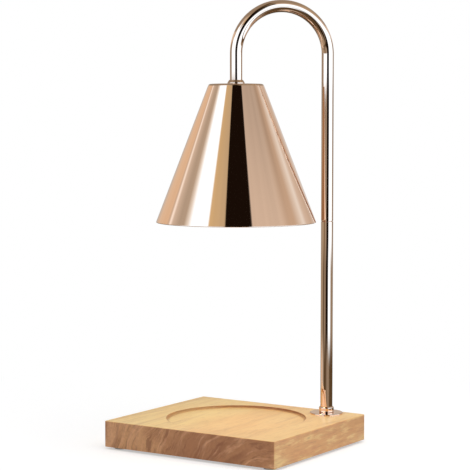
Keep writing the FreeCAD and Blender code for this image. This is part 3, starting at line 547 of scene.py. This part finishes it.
def zinc_plate():
    """Bright zinc plating: cold grey with soft crystal patches."""
    material, graph, place = surface("zinc_plate")
    patch = graph.noise(place, 700, detail=2)
    finish_surface(graph, {
        "Base Color": graph.mix(patch, (0.66, 0.67, 0.69), (0.52, 0.54, 0.57)),
        "Metallic": 1.0,
        "Roughness": 0.24 + 0.20 * patch,
        "Normal": graph.bump(patch, 0.01 * MM, 0.5),
    })
    return material


def turned_brass():
    """Plain brass with fine turning marks and a little tarnish."""
    material, graph, place = surface("turned_brass")
    marks = graph.noise(place, 2200, stretch=(0.05, 0.05, 1), detail=1)
    tarnish = graph.noise(place, 240, detail=3)
    finish_surface(graph, {
        "Base Color": graph.mix(tarnish.rise(0.4, 0.8), (0.80, 0.60, 0.28), (0.55, 0.38, 0.16)),
        "Metallic": 1.0,
        "Roughness": 0.22 + 0.2 * tarnish + 0.08 * marks,
        "Normal": graph.bump(marks, 0.01 * MM, 0.5),
    })
    return material


# For each slot: name, light and dark colour, roughness, grains in a metre, depth of the grain.
MOULDINGS = {
    "black_plastic": ("black_plastic", (0.030, 0.030, 0.032), (0.018, 0.018, 0.020),
                      0.45, 2400, 0.02 * MM),
    "cream_plastic": ("cream_plastic", (0.72, 0.67, 0.54), (0.66, 0.60, 0.47),
                      0.40, 1600, 0.01 * MM),
    "silicone": ("clear_silicone", (0.74, 0.74, 0.72), (0.66, 0.66, 0.64),
                 0.62, 1200, 0.02 * MM),
    "lead_sheath": ("lead_sheath", (0.62, 0.61, 0.58), (0.55, 0.54, 0.51),
                    0.50, 900, 0.01 * MM),
    "ceramic": ("unglazed_ceramic", (0.80, 0.78, 0.72), (0.70, 0.68, 0.61),
                0.75, 1800, 0.03 * MM),
}


def moulded(name, light, dark, roughness, grain_scale, grain_depth):
    """A moulded plastic, rubber or ceramic: a fine grain, and a slight mottle in its colour."""
    material, graph, place = surface(name)
    mottle = graph.noise(place, grain_scale / 8, detail=3)
    grain = graph.noise(place, grain_scale, detail=2)
    finish_surface(graph, {
        "Base Color": graph.mix(mottle, light, dark),
        "Roughness": roughness + 0.12 * (grain - 0.5),
        "Normal": graph.bump(grain, grain_depth, 0.6),
    })
    return material


def mirrored_glass():
    """Aluminised glass of the bulb's bowl."""
    material, graph, place = surface("mirrored_glass")
    bloom = graph.noise(place, 300, detail=3)
    finish_surface(graph, {
        "Base Color": graph.mix(bloom, (0.90, 0.91, 0.93), (0.80, 0.82, 0.86)),
        "Metallic": 1.0,
        "Roughness": 0.06 + 0.10 * bloom,
    })
    return material


def lit_glass(name, centre_colour, edge_colour, reach, strength, roughness):
    """Glass with the bulb's light in it, brightest on the lamp's axis."""
    material, graph, place = surface(name)
    distance = length_of(graph, level_part(graph, place))
    waves = graph.noise(place, 260, detail=1)
    finish_surface(graph, {
        "Base Color": (1.0, 0.96, 0.88, 1),
        "Roughness": roughness,
        "Transmission Weight": 1.0,
        "Emission Color": graph.mix((distance / reach).rise(0, 1), centre_colour, edge_colour),
        "Emission Strength": strength,
        "Normal": graph.bump(waves, 0.05 * MM, 0.5),
    })
    return material


# Meshes.

GUARD = 0.12 * MM
MERGE_DISTANCE = 1e-7
SHARP_ANGLE = math.radians(32)


def rounded(corners, steps=8):
    """A closed outline whose corners, given as (across, up, rounding), become arcs.

    A point just outside each arc keeps the straight stretches' shading flat.
    """
    points = []
    for number, (across, up, rounding) in enumerate(corners):
        corner = Vector((across, up))
        back = (Vector(corners[number - 1][:2]) - corner).normalized()
        ahead = (Vector(corners[(number + 1) % len(corners)][:2]) - corner).normalized()
        if rounding == 0:
            points.append(corner)
            continue
        half = back.angle(ahead) / 2
        reach = rounding / math.tan(half)
        centre = corner + (back + ahead).normalized() * rounding / math.sin(half)
        spoke = corner + back * reach - centre
        sweep = -spoke.angle_signed(corner + ahead * reach - centre)
        points.append(corner + back * (reach + GUARD))
        for step in range(steps + 1):
            points.append(centre + Matrix.Rotation(sweep * step / steps, 2) @ spoke)
        points.append(corner + ahead * (reach + GUARD))
    return points


def smooth(mesh):
    mesh.shade_smooth()
    mesh.set_sharp_from_angle(angle=SHARP_ANGLE)


def closed_shell(name, build, rings):
    """A mesh with faces between each ring of points and the next, and back to the first."""
    for ring, following in pairwise([*rings, rings[0]]):
        for step in range(len(ring)):
            after = (step + 1) % len(ring)
            build.faces.new((ring[step], following[step], following[after], ring[after]))
    bmesh.ops.remove_doubles(build, verts=build.verts, dist=MERGE_DISTANCE)
    bmesh.ops.recalc_face_normals(build, faces=build.faces)
    mesh = bpy.data.meshes.new(name)
    build.to_mesh(mesh)
    build.free()
    smooth(mesh)
    return mesh


def lathe(name, profile, axis=(0, 0), segments=192):
    """Turn a closed profile of (radius, height) points about a vertical axis."""
    build = bmesh.new()
    angles = [math.tau * step / segments for step in range(segments)]
    rings = [[build.verts.new((axis[0] + radius * math.cos(angle),
                               axis[1] + radius * math.sin(angle), height))
              for angle in angles] for radius, height in profile]
    return closed_shell(name, build, rings)


def add_piece(mesh, body, node, materials=()):
    """A finished mesh as a piece of the same name that rides on a body in place of a node.

    A mesh from Geometry Nodes holds its material already.
    """
    piece = bpy.data.objects.new(mesh.name, mesh)
    show(piece)
    for material in materials:
        mesh.materials.append(material)
    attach(piece, body)
    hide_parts(node)


CLEARANCE = 0.05 * MM
STUD_RADIUS = 4.0 * MM
STUD_HOLE = STUD_RADIUS + CLEARANCE

SHADE_CROWN = 21 * MM
SHADE_WALL = 0.8 * MM
SHADE_HEM = 1.7 * MM
SHADE_SHOULDER = 2.4 * MM
SHADE_INNER_SHOULDER = 1.2 * MM
RIM_EDGE = 0.4 * MM
HEM_EDGE = 0.3 * MM


def make_shade(metal, inside):
    """Spun cone with a flat top, a rounded shoulder and a thick hem at its rim."""
    low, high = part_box("shade")
    rim, ceiling, hem_top = high.x, high.z - SHADE_WALL, low.z + SHADE_HEM
    slope = (rim - SHADE_CROWN) / (high.z - low.z)
    inset = SHADE_WALL * math.sqrt(1 + slope ** 2)
    profile = rounded([
        (rim - SHADE_HEM, low.z, HEM_EDGE),
        (rim, low.z, RIM_EDGE),
        (SHADE_CROWN, high.z, SHADE_SHOULDER),
        (STUD_HOLE, high.z, 0),
        (STUD_HOLE, ceiling, 0),
        (SHADE_CROWN + slope * SHADE_WALL - inset, ceiling, SHADE_INNER_SHOULDER),
        (rim - slope * SHADE_HEM - inset, hem_top, HEM_EDGE),
        (rim - SHADE_HEM, hem_top, HEM_EDGE),
    ])
    mesh = lathe("shade_cone", profile, segments=256)
    add_piece(mesh, "arm", "shade", (metal, inside))
    for face in mesh.polygons:
        outward = face.normal.x * face.center.x + face.normal.y * face.center.y
        under_top = face.normal.z < -0.9 and face.center.z > ceiling - SHADE_WALL
        inner_wall = outward < 0 and face.center.z > hem_top
        if under_top or inner_wall:
            face.material_index = 1


TUBE_RADIUS = 4.75 * MM
TUBE_BORE_RADIUS = STUD_HOLE
TUBE_EDGE = 0.3 * MM
ARM_END = 281.8 * MM
BEND_STEPS = 64

FLANGE_RADIUS = 13 * MM
FLANGE_EDGE = 0.6 * MM
COLLAR_LOW_EDGE = 0.5 * MM
COLLAR_HIGH_EDGE = 1.0 * MM


def tube_path():
    """The gooseneck's centre line: up from the seam, over in a half circle, down to the shade."""
    low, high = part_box("gooseneck")
    pole = sum(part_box("lower_pole"), Vector()) / 2
    foot = Vector((pole.x, pole.y, low.z))
    outward = Vector((*foot.xy, 0)).normalized()
    bend = foot.xy.length / 2
    middle = bend * outward + (high.z - TUBE_RADIUS - bend) * UP
    angles = [math.pi * step / BEND_STEPS for step in range(BEND_STEPS + 1)]
    turn = [middle + bend * (outward * math.cos(angle) + UP * math.sin(angle)) for angle in angles]
    return [foot, turn[0] - GUARD * UP, *turn, turn[-1] - GUARD * UP, ARM_END * UP]


def tube(name, path, segments=64):
    """A hollow tube along a path that lies in one upright plane, with bevelled ends."""
    across = (path[0] - path[-1]).cross(UP).normalized()
    if across.length == 0:
        across = Vector((1, 0, 0))
    ways = [(path[min(number + 1, len(path) - 1)] - path[max(number - 1, 0)]).normalized()
            for number in range(len(path))]
    stations = list(zip(path, ways))
    (foot, start), *between, (end, finish) = stations
    outside = [
        (foot, start, TUBE_RADIUS - TUBE_EDGE),
        (foot + start * TUBE_EDGE, start, TUBE_RADIUS),
        *((point, way, TUBE_RADIUS) for point, way in between),
        (end - finish * TUBE_EDGE, finish, TUBE_RADIUS),
        (end, finish, TUBE_RADIUS - TUBE_EDGE),
    ]
    bore = [(point, way, TUBE_BORE_RADIUS) for point, way in reversed(stations)]
    build = bmesh.new()
    angles = [math.tau * step / segments for step in range(segments)]
    rings = [[build.verts.new(point + radius * (across * math.cos(angle)
                                                + way.cross(across) * math.sin(angle)))
              for angle in angles] for point, way, radius in outside + bore]
    return closed_shell(name, build, rings)


def make_pole(metal):
    """Lower pole, its foot, and the gooseneck above the seam."""
    low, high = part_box("lower_pole")
    axis = (low + high).xy / 2
    straight = [Vector((*axis, low.z)), Vector((*axis, high.z))]
    add_piece(tube("lower_pole_tube", straight), "root", "lower_pole", (metal,))
    add_piece(tube("gooseneck_tube", tube_path()), "arm", "gooseneck", (metal,))

    low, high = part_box("pole_flange")
    disc = rounded([
        (TUBE_BORE_RADIUS, low.z, 0),
        (FLANGE_RADIUS, low.z, 0),
        (FLANGE_RADIUS, high.z, FLANGE_EDGE),
        (TUBE_BORE_RADIUS, high.z, 0),
    ])
    foot_disc = lathe("pole_foot_disc", disc, axis, segments=128)
    add_piece(foot_disc, "root", "pole_flange", (metal,))

    low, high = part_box("pole_collar")
    radius, bore = (high.x - low.x) / 2, TUBE_RADIUS + CLEARANCE
    ring = rounded([
        (bore, low.z, 0),
        (radius, low.z, COLLAR_LOW_EDGE),
        (radius, high.z, COLLAR_HIGH_EDGE),
        (bore, high.z, 0),
    ])
    foot_ring = lathe("pole_foot_ring", ring, axis, segments=96)
    add_piece(foot_ring, "root", "pole_collar", (metal,))


NUT_TOP_RADIUS = 5.35 * MM
NUT_SEAT_RADIUS = 4.8 * MM
NUT_SEAT_DEPTH = 1.6 * MM
NUT_STEP_HEIGHT = 0.9 * MM
NUT_EDGE = 0.2 * MM
NUT_STEP_EDGE = 0.3 * MM


def make_ring_nut(metal):
    """Tapered nut between the gooseneck's end and the shade."""
    low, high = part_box("shade_ring_nut")
    radius, seat = high.x, high.z - NUT_SEAT_DEPTH
    nut = rounded([
        (STUD_HOLE, low.z, 0),
        (radius, low.z, NUT_EDGE),
        (radius, low.z + NUT_STEP_HEIGHT, NUT_STEP_EDGE),
        (NUT_TOP_RADIUS, high.z, NUT_EDGE),
        (NUT_SEAT_RADIUS, high.z, 0),
        (NUT_SEAT_RADIUS, seat, 0),
        (STUD_HOLE, seat, 0),
    ])
    mesh = lathe("ring_nut_cone", nut, segments=96)
    add_piece(mesh, "arm", "shade_ring_nut", (metal,))


# Shapes that repeat or follow a rule, from Geometry Nodes.

def shape_tree(name, sizes):
    """A tree that takes a mesh and named sizes: its graph, its mesh and its sizes by name."""
    tree = bpy.data.node_groups.new(name, "GeometryNodeTree")
    tree.interface.new_socket("Mesh", in_out="INPUT", socket_type="NodeSocketGeometry")
    for label, kind in sizes.items():
        tree.interface.new_socket(label, in_out="INPUT", socket_type="NodeSocket" + kind)
    tree.interface.new_socket("Mesh", in_out="OUTPUT", socket_type="NodeSocketGeometry")
    graph = Graph(tree)
    mesh, *given = (graph.node("NodeGroupInput", output=label) for label in ("Mesh", *sizes))
    return graph, mesh, dict(zip(sizes, given))


def end_tree(graph, geometry, material):
    geometry = graph.node("GeometryNodeRealizeInstances", None, {"Geometry": geometry})
    geometry = graph.node("GeometryNodeSetMaterial", None,
                          {"Geometry": geometry, "Material": material})
    graph.node("NodeGroupOutput", None, {"Mesh": geometry})
    return graph


def grown(name, mesh, graph, sizes):
    """The plain mesh that a tree makes of a mesh, with the tree's named sizes set."""
    holder = bpy.data.objects.new(name, mesh)
    show(holder)
    modifier = holder.modifiers.new("shape", "NODES")
    modifier.node_group = graph.tree
    for item in graph.tree.interface.items_tree:
        if item.in_out == "INPUT" and item.name in sizes:
            modifier[item.identifier] = sizes[item.name]
    shown = holder.evaluated_get(bpy.context.evaluated_depsgraph_get())
    plain = bpy.data.meshes.new_from_object(shown)
    bpy.data.objects.remove(holder)
    bpy.data.meshes.remove(mesh)
    plain.name = name
    # A source mesh without a material leaves an empty slot before the tree's own.
    material = next(filter(None, plain.materials))
    plain.materials.clear()
    plain.materials.append(material)
    smooth(plain)
    return plain


def joined(graph, *parts):
    """Several geometries as one."""
    join = graph.tree.nodes.new("GeometryNodeJoinGeometry")
    for part in parts:
        graph.tree.links.new(part.socket, join.inputs["Geometry"])
    return Wire(graph, join.outputs["Geometry"])


def moved(graph, geometry, place):
    return graph.node("GeometryNodeTransform", None, {"Geometry": geometry, "Translation": place})


def lifted(graph, geometry, height):
    return moved(graph, geometry, graph.node("ShaderNodeCombineXYZ", None, {"Z": height}))


def thread_ridge(graph, radius, depth, pitch, length, base):
    """A helical ridge round the Z axis, from a height upwards."""
    spiral = graph.node("GeometryNodeCurveSpiral", None, {
        "Resolution": 28, "Rotations": length / pitch, "Start Radius": radius,
        "End Radius": radius, "Height": length})
    upright = graph.node("GeometryNodeSetCurveNormal", {"mode": "Z_UP"}, {"Curve": spiral})
    section = graph.node("GeometryNodeCurvePrimitiveCircle", {"mode": "RADIUS"},
                         {"Resolution": 4, "Radius": depth})
    ridge = graph.node("GeometryNodeCurveToMesh", None,
                       {"Curve": upright, "Profile Curve": section, "Fill Caps": True})
    return lifted(graph, ridge, base)


THREAD_DEPTH = 0.30 * MM
THREAD_PITCH = 1.0 * MM
LEAD_BORE_RADIUS = 2.2 * MM
JOURNAL_RADIUS = 3.0 * MM
JOURNAL_LENGTH = 12.05 * MM


def thread_tree(material):
    """A plain sleeve gets a thread round it."""
    graph, sleeve, given = shape_tree("rolled_thread", {
        "Core Radius": "Float", "Depth": "Float", "Pitch": "Float", "Length": "Float",
        "Base": "Float", "Centre": "Vector"})
    ridge = thread_ridge(graph, given["Core Radius"], given["Depth"], given["Pitch"],
                         given["Length"], given["Base"])
    return end_tree(graph, joined(graph, sleeve, moved(graph, ridge, given["Centre"])), material)


def make_studs(zinc):
    """The threaded, hollow studs: in the base, in the swivel and in the shade."""
    graph = thread_tree(zinc)
    core = STUD_RADIUS - THREAD_DEPTH
    for name, node, body, journal in (
            ("base_stud_thread", "base_stud", "root", 0),
            ("swivel_stud_thread", "arm_stud", "arm", JOURNAL_LENGTH),
            ("nipple_thread", "holder_nipple", "arm", 0)):
        low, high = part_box(node)
        axis = (low + high).xy / 2
        start = low.z + journal
        outline = [(core, start), (core, high.z), (LEAD_BORE_RADIUS, high.z),
                   (LEAD_BORE_RADIUS, low.z)]
        if journal:
            outline += [(JOURNAL_RADIUS, low.z), (JOURNAL_RADIUS, start)]
        base = start + THREAD_PITCH / 2
        mesh = grown(name, lathe(name, outline, axis, segments=64), graph, {
            "Core Radius": core, "Depth": THREAD_DEPTH, "Pitch": THREAD_PITCH,
            "Length": high.z - THREAD_PITCH / 2 - base, "Base": base, "Centre": (*axis, 0)})
        add_piece(mesh, body, node)


def screw_tree(material):
    """Screws with a cross in their heads, one at each point of a mesh, turned at random."""
    graph, points, given = shape_tree("cross_screws", {
        "Head Radius": "Float", "Head Edge Radius": "Float", "Head Height": "Float",
        "Shank Radius": "Float", "Length": "Float", "Thread Depth": "Float",
        "Pitch": "Float", "Cross Reach": "Float", "Cross Width": "Float",
        "Cross Depth": "Float", "Tip": "Vector", "Seed": "Int"})
    head = graph.node("GeometryNodeMeshCone", None, {
        "Vertices": 40, "Radius Top": given["Head Radius"],
        "Radius Bottom": given["Head Edge Radius"], "Depth": given["Head Height"]}, "Mesh")
    for turn in (0, math.pi / 2):
        size = graph.node("ShaderNodeCombineXYZ", None, {
            "X": 2 * given["Cross Reach"], "Y": given["Cross Width"],
            "Z": 2 * given["Cross Depth"]})
        bar = graph.node("GeometryNodeMeshCube", None, {"Size": size}, "Mesh")
        bar = graph.node("GeometryNodeTransform", None,
                         {"Geometry": bar, "Rotation": (0, 0, turn)})
        head = graph.node("GeometryNodeMeshBoolean", {"operation": "DIFFERENCE"},
                          {"Mesh 1": head, "Mesh 2": bar}, "Mesh")
    core = given["Shank Radius"] - given["Thread Depth"]
    shank = graph.node("GeometryNodeMeshCylinder", None, {
        "Vertices": 24, "Radius": core, "Depth": given["Length"] - given["Head Height"]}, "Mesh")
    shank = lifted(graph, shank, (given["Length"] + given["Head Height"]) / 2)
    ridge = thread_ridge(graph, core, given["Thread Depth"], given["Pitch"],
                         given["Length"] - given["Head Height"] - given["Pitch"],
                         given["Head Height"] + given["Pitch"] / 2)
    screw = graph.node("GeometryNodeTransform", None,
                       {"Geometry": joined(graph, head, shank, ridge), "Rotation": given["Tip"]})
    screws = graph.node("GeometryNodeInstanceOnPoints", None,
                        {"Points": points, "Instance": screw})
    turn = graph.node("FunctionNodeRandomValue", {"data_type": "FLOAT"},
                      {"Min": 0.0, "Max": math.tau, "Seed": given["Seed"]})
    turn = graph.node("ShaderNodeCombineXYZ", None, {"Z": turn})
    screws = graph.node("GeometryNodeRotateInstances", None,
                        {"Instances": screws, "Rotation": turn})
    return end_tree(graph, screws, material)


def dots(name, places):
    """A mesh of single points, for a tree that puts something at each."""
    mesh = bpy.data.meshes.new(name)
    mesh.from_pydata(places, [], [])
    return mesh


COVER_SCREW = {
    "Head Radius": 2.3 * MM, "Head Edge Radius": 2.2 * MM, "Head Height": 0.8 * MM,
    "Shank Radius": 1.25 * MM, "Length": 8 * MM, "Thread Depth": 0.3 * MM, "Pitch": 1.1 * MM,
    "Cross Reach": 1.25 * MM, "Cross Width": 0.5 * MM, "Cross Depth": 0.55 * MM,
    "Tip": (0, 0, 0), "Seed": 3,
}
HOLDER_SCREW = {
    "Head Radius": 2.5 * MM, "Head Edge Radius": 1.9 * MM, "Head Height": 1.8 * MM,
    "Shank Radius": 1.5 * MM, "Thread Depth": 0.22 * MM, "Pitch": 0.5 * MM,
    "Cross Reach": 1.3 * MM, "Cross Width": 0.55 * MM, "Cross Depth": 1.0 * MM,
    "Tip": (math.pi, 0, 0), "Seed": 5,
}


def make_screws(zinc):
    """Three wood screws in the bottom cover, and two machine screws in the holder's bracket."""
    graph = screw_tree(zinc)
    low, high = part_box("cover_screws")
    inset = COVER_SCREW["Head Radius"]
    places = [(low.x + inset, low.y + inset, low.z), (low.x + inset, high.y - inset, low.z),
              (high.x - inset, low.y + inset, low.z)]
    mesh = grown("cover_screw_set", dots("cover_screw_places", places), graph, COVER_SCREW)
    add_piece(mesh, "root", "cover_screws")

    low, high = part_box("holder_screws")
    inset = HOLDER_SCREW["Head Radius"]
    places = [(0, low.y + inset, high.z), (0, high.y - inset, high.z)]
    mesh = grown("holder_screw_pair", dots("holder_screw_places", places), graph,
                 {**HOLDER_SCREW, "Length": high.z - low.z})
    add_piece(mesh, "arm", "holder_screws")


FOOT_RADIUS = 5 * MM
FOOT_EDGE = 0.6 * MM
# Inner radius of each grip ring under a foot.
GRIP_RINGS = (1.0 * MM, 2.5 * MM)
GRIP_WIDTH = 0.9 * MM
GRIP_SLOPE = 0.2 * MM
GRIP_DEPTH = 0.25 * MM


def make_feet(silicone):
    """Four pads, each with a rounded edge and shallow grip rings underneath."""
    low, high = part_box("feet")
    graph, pad, given = shape_tree("four_feet", {"Width": "Float", "Depth": "Float"})
    corners = graph.node("GeometryNodeMeshGrid", None, {
        "Vertices X": 2, "Vertices Y": 2, "Size X": given["Width"], "Size Y": given["Depth"]},
        "Mesh")
    feet = graph.node("GeometryNodeInstanceOnPoints", None, {"Points": corners, "Instance": pad})
    end_tree(graph, feet, silicone)

    outline = rounded([(0, high.z, 0), (0, low.z, 0), (FOOT_RADIUS, low.z, FOOT_EDGE),
                       (FOOT_RADIUS, high.z, 0)], steps=6)
    outline[2:2] = [
        point for ring in GRIP_RINGS for point in (
            (ring, low.z),
            (ring + GRIP_SLOPE, low.z + GRIP_DEPTH),
            (ring + GRIP_WIDTH - GRIP_SLOPE, low.z + GRIP_DEPTH),
            (ring + GRIP_WIDTH, low.z))]
    mesh = grown("foot_pads", lathe("foot", outline, segments=64), graph, {
        "Width": high.x - low.x - 2 * FOOT_RADIUS, "Depth": high.y - low.y - 2 * FOOT_RADIUS})
    add_piece(mesh, "root", "feet")


def facet_tree(material):
    """The inside of a bowl gets staggered rings of dished facets."""
    graph, bowl, given = shape_tree("facet_rings", {
        "Sectors": "Float", "Rings": "Float", "Dish": "Float", "Low": "Float", "High": "Float"})
    place = graph.node("GeometryNodeInputPosition")
    x, y, z = axes(graph, place)
    normal = graph.node("GeometryNodeInputNormal", output="Normal")
    outward = dot_product(graph, level_part(graph, place), normal)
    row = (z - given["Low"]) / (given["High"] - given["Low"]) * given["Rings"]
    shift = 0.5 * row.math("FLOORED_MODULO", row.math("FLOOR", row), 2)
    column = y.math("ARCTAN2", y, x) / math.tau * given["Sectors"] + shift
    across = 2 * column.math("FRACT", column) - 1
    up = 2 * row.math("FRACT", row) - 1
    dish = (1 - across * across) * (1 - up * up) * given["Dish"]
    inside = (outward.math("LESS_THAN", outward, 0) * z.math("GREATER_THAN", z, given["Low"])
              * z.math("LESS_THAN", z, given["High"]))
    offset = graph.node("ShaderNodeVectorMath", {"operation": "SCALE"},
                        {0: normal, "Scale": dish})
    bowl = graph.node("GeometryNodeSetPosition", None,
                      {"Geometry": bowl, "Selection": inside, "Offset": offset})
    return end_tree(graph, bowl, material)


FACET_RINGS = 8
FACET_SECTORS = 24
FACET_STEPS = 6
FACET_DISH = 0.35 * MM
# The bowl's radii at heights above its rim, outside and inside.
BOWL_RIM_HEIGHT = 3 * MM
BOWL_OUTSIDE = ((22.5 * MM, 11 * MM), (17.5 * MM, 22 * MM), (10.5 * MM, 32 * MM))
BOWL_INSIDE = ((20.5 * MM, 11 * MM), (15.5 * MM, 22 * MM), (7.9 * MM, 32 * MM))
BOWL_RIM_WALL = 2 * MM
BOWL_INSIDE_START = 2.2 * MM


def spread(line, count):
    """Points at count + 1 even heights on a line of (radius, height) points."""
    low, high = line[0][1], line[-1][1]
    heights = [low + (high - low) * step / count for step in range(count)]
    points = []
    for height in heights:
        first, after = next(pair for pair in pairwise(line) if height < pair[1][1])
        share = (height - first[1]) / (after[1] - first[1])
        points.append((first[0] + (after[0] - first[0]) * share, height))
    return [*points, line[-1]]


def make_reflector(glass):
    """The bulb's bowl: plain outside, faceted inside."""
    low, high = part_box("bulb_reflector")
    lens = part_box("bulb_lens")[1]
    rim, seat = high.x, lens.x + CLEARANCE
    outside = [(rim, 0), (rim, BOWL_RIM_HEIGHT), *BOWL_OUTSIDE]
    line = [(rim - BOWL_RIM_WALL, BOWL_INSIDE_START), *BOWL_INSIDE]
    inside = reversed(spread(line, FACET_RINGS * FACET_STEPS))
    wall = [(radius, low.z + height) for radius, height in (*outside, *inside)]
    profile = [(seat, low.z), *wall, (seat, lens.z)]
    shell = lathe("faceted_reflector", profile, segments=FACET_SECTORS * FACET_STEPS)
    mesh = grown("faceted_reflector", shell, facet_tree(glass), {
        "Sectors": float(FACET_SECTORS), "Rings": float(FACET_RINGS), "Dish": FACET_DISH,
        "Low": low.z + line[0][1], "High": low.z + line[-1][1]})
    add_piece(mesh, "bulb", "bulb_reflector")


GLAND_BORE_RADIUS = 3.2 * MM
GLAND_BARREL_RADIUS = 4.25 * MM
GLAND_COLLAR_LENGTH = 2 * MM
GLAND_MOUTH_WIDTH = 0.7 * MM
GLAND_MOUTH_DEPTH = 0.9 * MM
GLAND_EDGE = 0.3 * MM
GLAND_MOUTH_EDGE = 0.2 * MM
GLAND_END_EDGE = 0.4 * MM
GLAND_RIBS = 18
GLAND_RIB_RADIUS = 0.2 * MM
GLAND_RIB_START = 0.5 * MM
GLAND_RIB_SHORTER = 2 * MM


def make_gland(plastic):
    """Bush for the cord: a collar inside the cavity, a chamfered mouth and grip ribs."""
    low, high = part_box("cord_gland")
    length, collar = high.y - low.y, (high.x - low.x) / 2
    body = rounded([
        (GLAND_BORE_RADIUS, 0, GLAND_EDGE),
        (collar, 0, GLAND_EDGE),
        (collar, GLAND_COLLAR_LENGTH, GLAND_EDGE),
        (GLAND_BARREL_RADIUS, GLAND_COLLAR_LENGTH, 0),
        (GLAND_BARREL_RADIUS, length, GLAND_END_EDGE),
        (GLAND_BORE_RADIUS + GLAND_MOUTH_WIDTH, length, GLAND_MOUTH_EDGE),
        (GLAND_BORE_RADIUS, length - GLAND_MOUTH_DEPTH, GLAND_EDGE),
    ], steps=4)
    graph, bush, given = shape_tree("ribbed_bore", {
        "Count": "Int", "Bore": "Float", "Rib Radius": "Float", "Length": "Float",
        "Start": "Float"})
    ring = graph.node("GeometryNodeMeshCircle", None,
                      {"Vertices": given["Count"], "Radius": given["Bore"]})
    rib = graph.node("GeometryNodeMeshCylinder", None, {
        "Vertices": 10, "Radius": given["Rib Radius"], "Depth": given["Length"]}, "Mesh")
    ribs = graph.node("GeometryNodeInstanceOnPoints", None, {"Points": ring, "Instance": rib})
    ribs = lifted(graph, ribs, given["Length"] / 2 + given["Start"])
    end_tree(graph, joined(graph, bush, ribs), plastic)
    mesh = grown("ribbed_gland", lathe("ribbed_gland_body", body, segments=64), graph, {
        "Count": GLAND_RIBS, "Bore": GLAND_BORE_RADIUS, "Rib Radius": GLAND_RIB_RADIUS,
        "Length": length - GLAND_RIB_SHORTER, "Start": GLAND_RIB_START})
    middle = (low + high) / 2
    mesh.transform(Matrix.Translation((middle.x, low.y, middle.z))
                   @ Matrix.Rotation(-math.pi / 2, 4, "X"))
    add_piece(mesh, "root", "cord_gland")


def dress_nodes(finishes):
    """Give each node that still shows the finish of its slot, or one of its own."""
    slots = {part["node"]: part["material_slot"] for part in frame["record"]["subparts"]}
    for name, node in frame["nodes"].items():
        node.data.materials.clear()
        node.data.materials.append(finishes.get(name) or finishes[slots[name]])


bpy.context.scene.view_settings.view_transform = "Standard"
make_camera()
make_world()
make_key_lamp()
make_bulb_light()
make_floor()

finishes = {slot: moulded(*moulding) for slot, moulding in MOULDINGS.items()}
finishes.update({
    "oak": oiled_wood(),
    "rose_gold": polished_rose_gold(),
    "zinc_steel": zinc_plate(),
    "brass": turned_brass(),
    "reflector_glass": mirrored_glass(),
    "clear_glass": lit_glass("lit_lens", (1.0, 0.86, 0.55), (1.0, 0.62, 0.25), reach=24 * MM,
                             strength=0.12, roughness=0.03),
    "bulb_capsule": lit_glass("lit_capsule", (1.0, 0.9, 0.6), (1.0, 0.8, 0.5), reach=5 * MM,
                              strength=3.0, roughness=0.3),
})
dress_nodes(finishes)
make_shade(finishes["rose_gold"], satin_rose_gold())
make_pole(finishes["rose_gold"])
make_ring_nut(finishes["rose_gold"])
make_studs(finishes["zinc_steel"])
make_screws(finishes["zinc_steel"])
make_feet(finishes["silicone"])
make_reflector(finishes["reflector_glass"])
make_gland(finishes["black_plastic"])
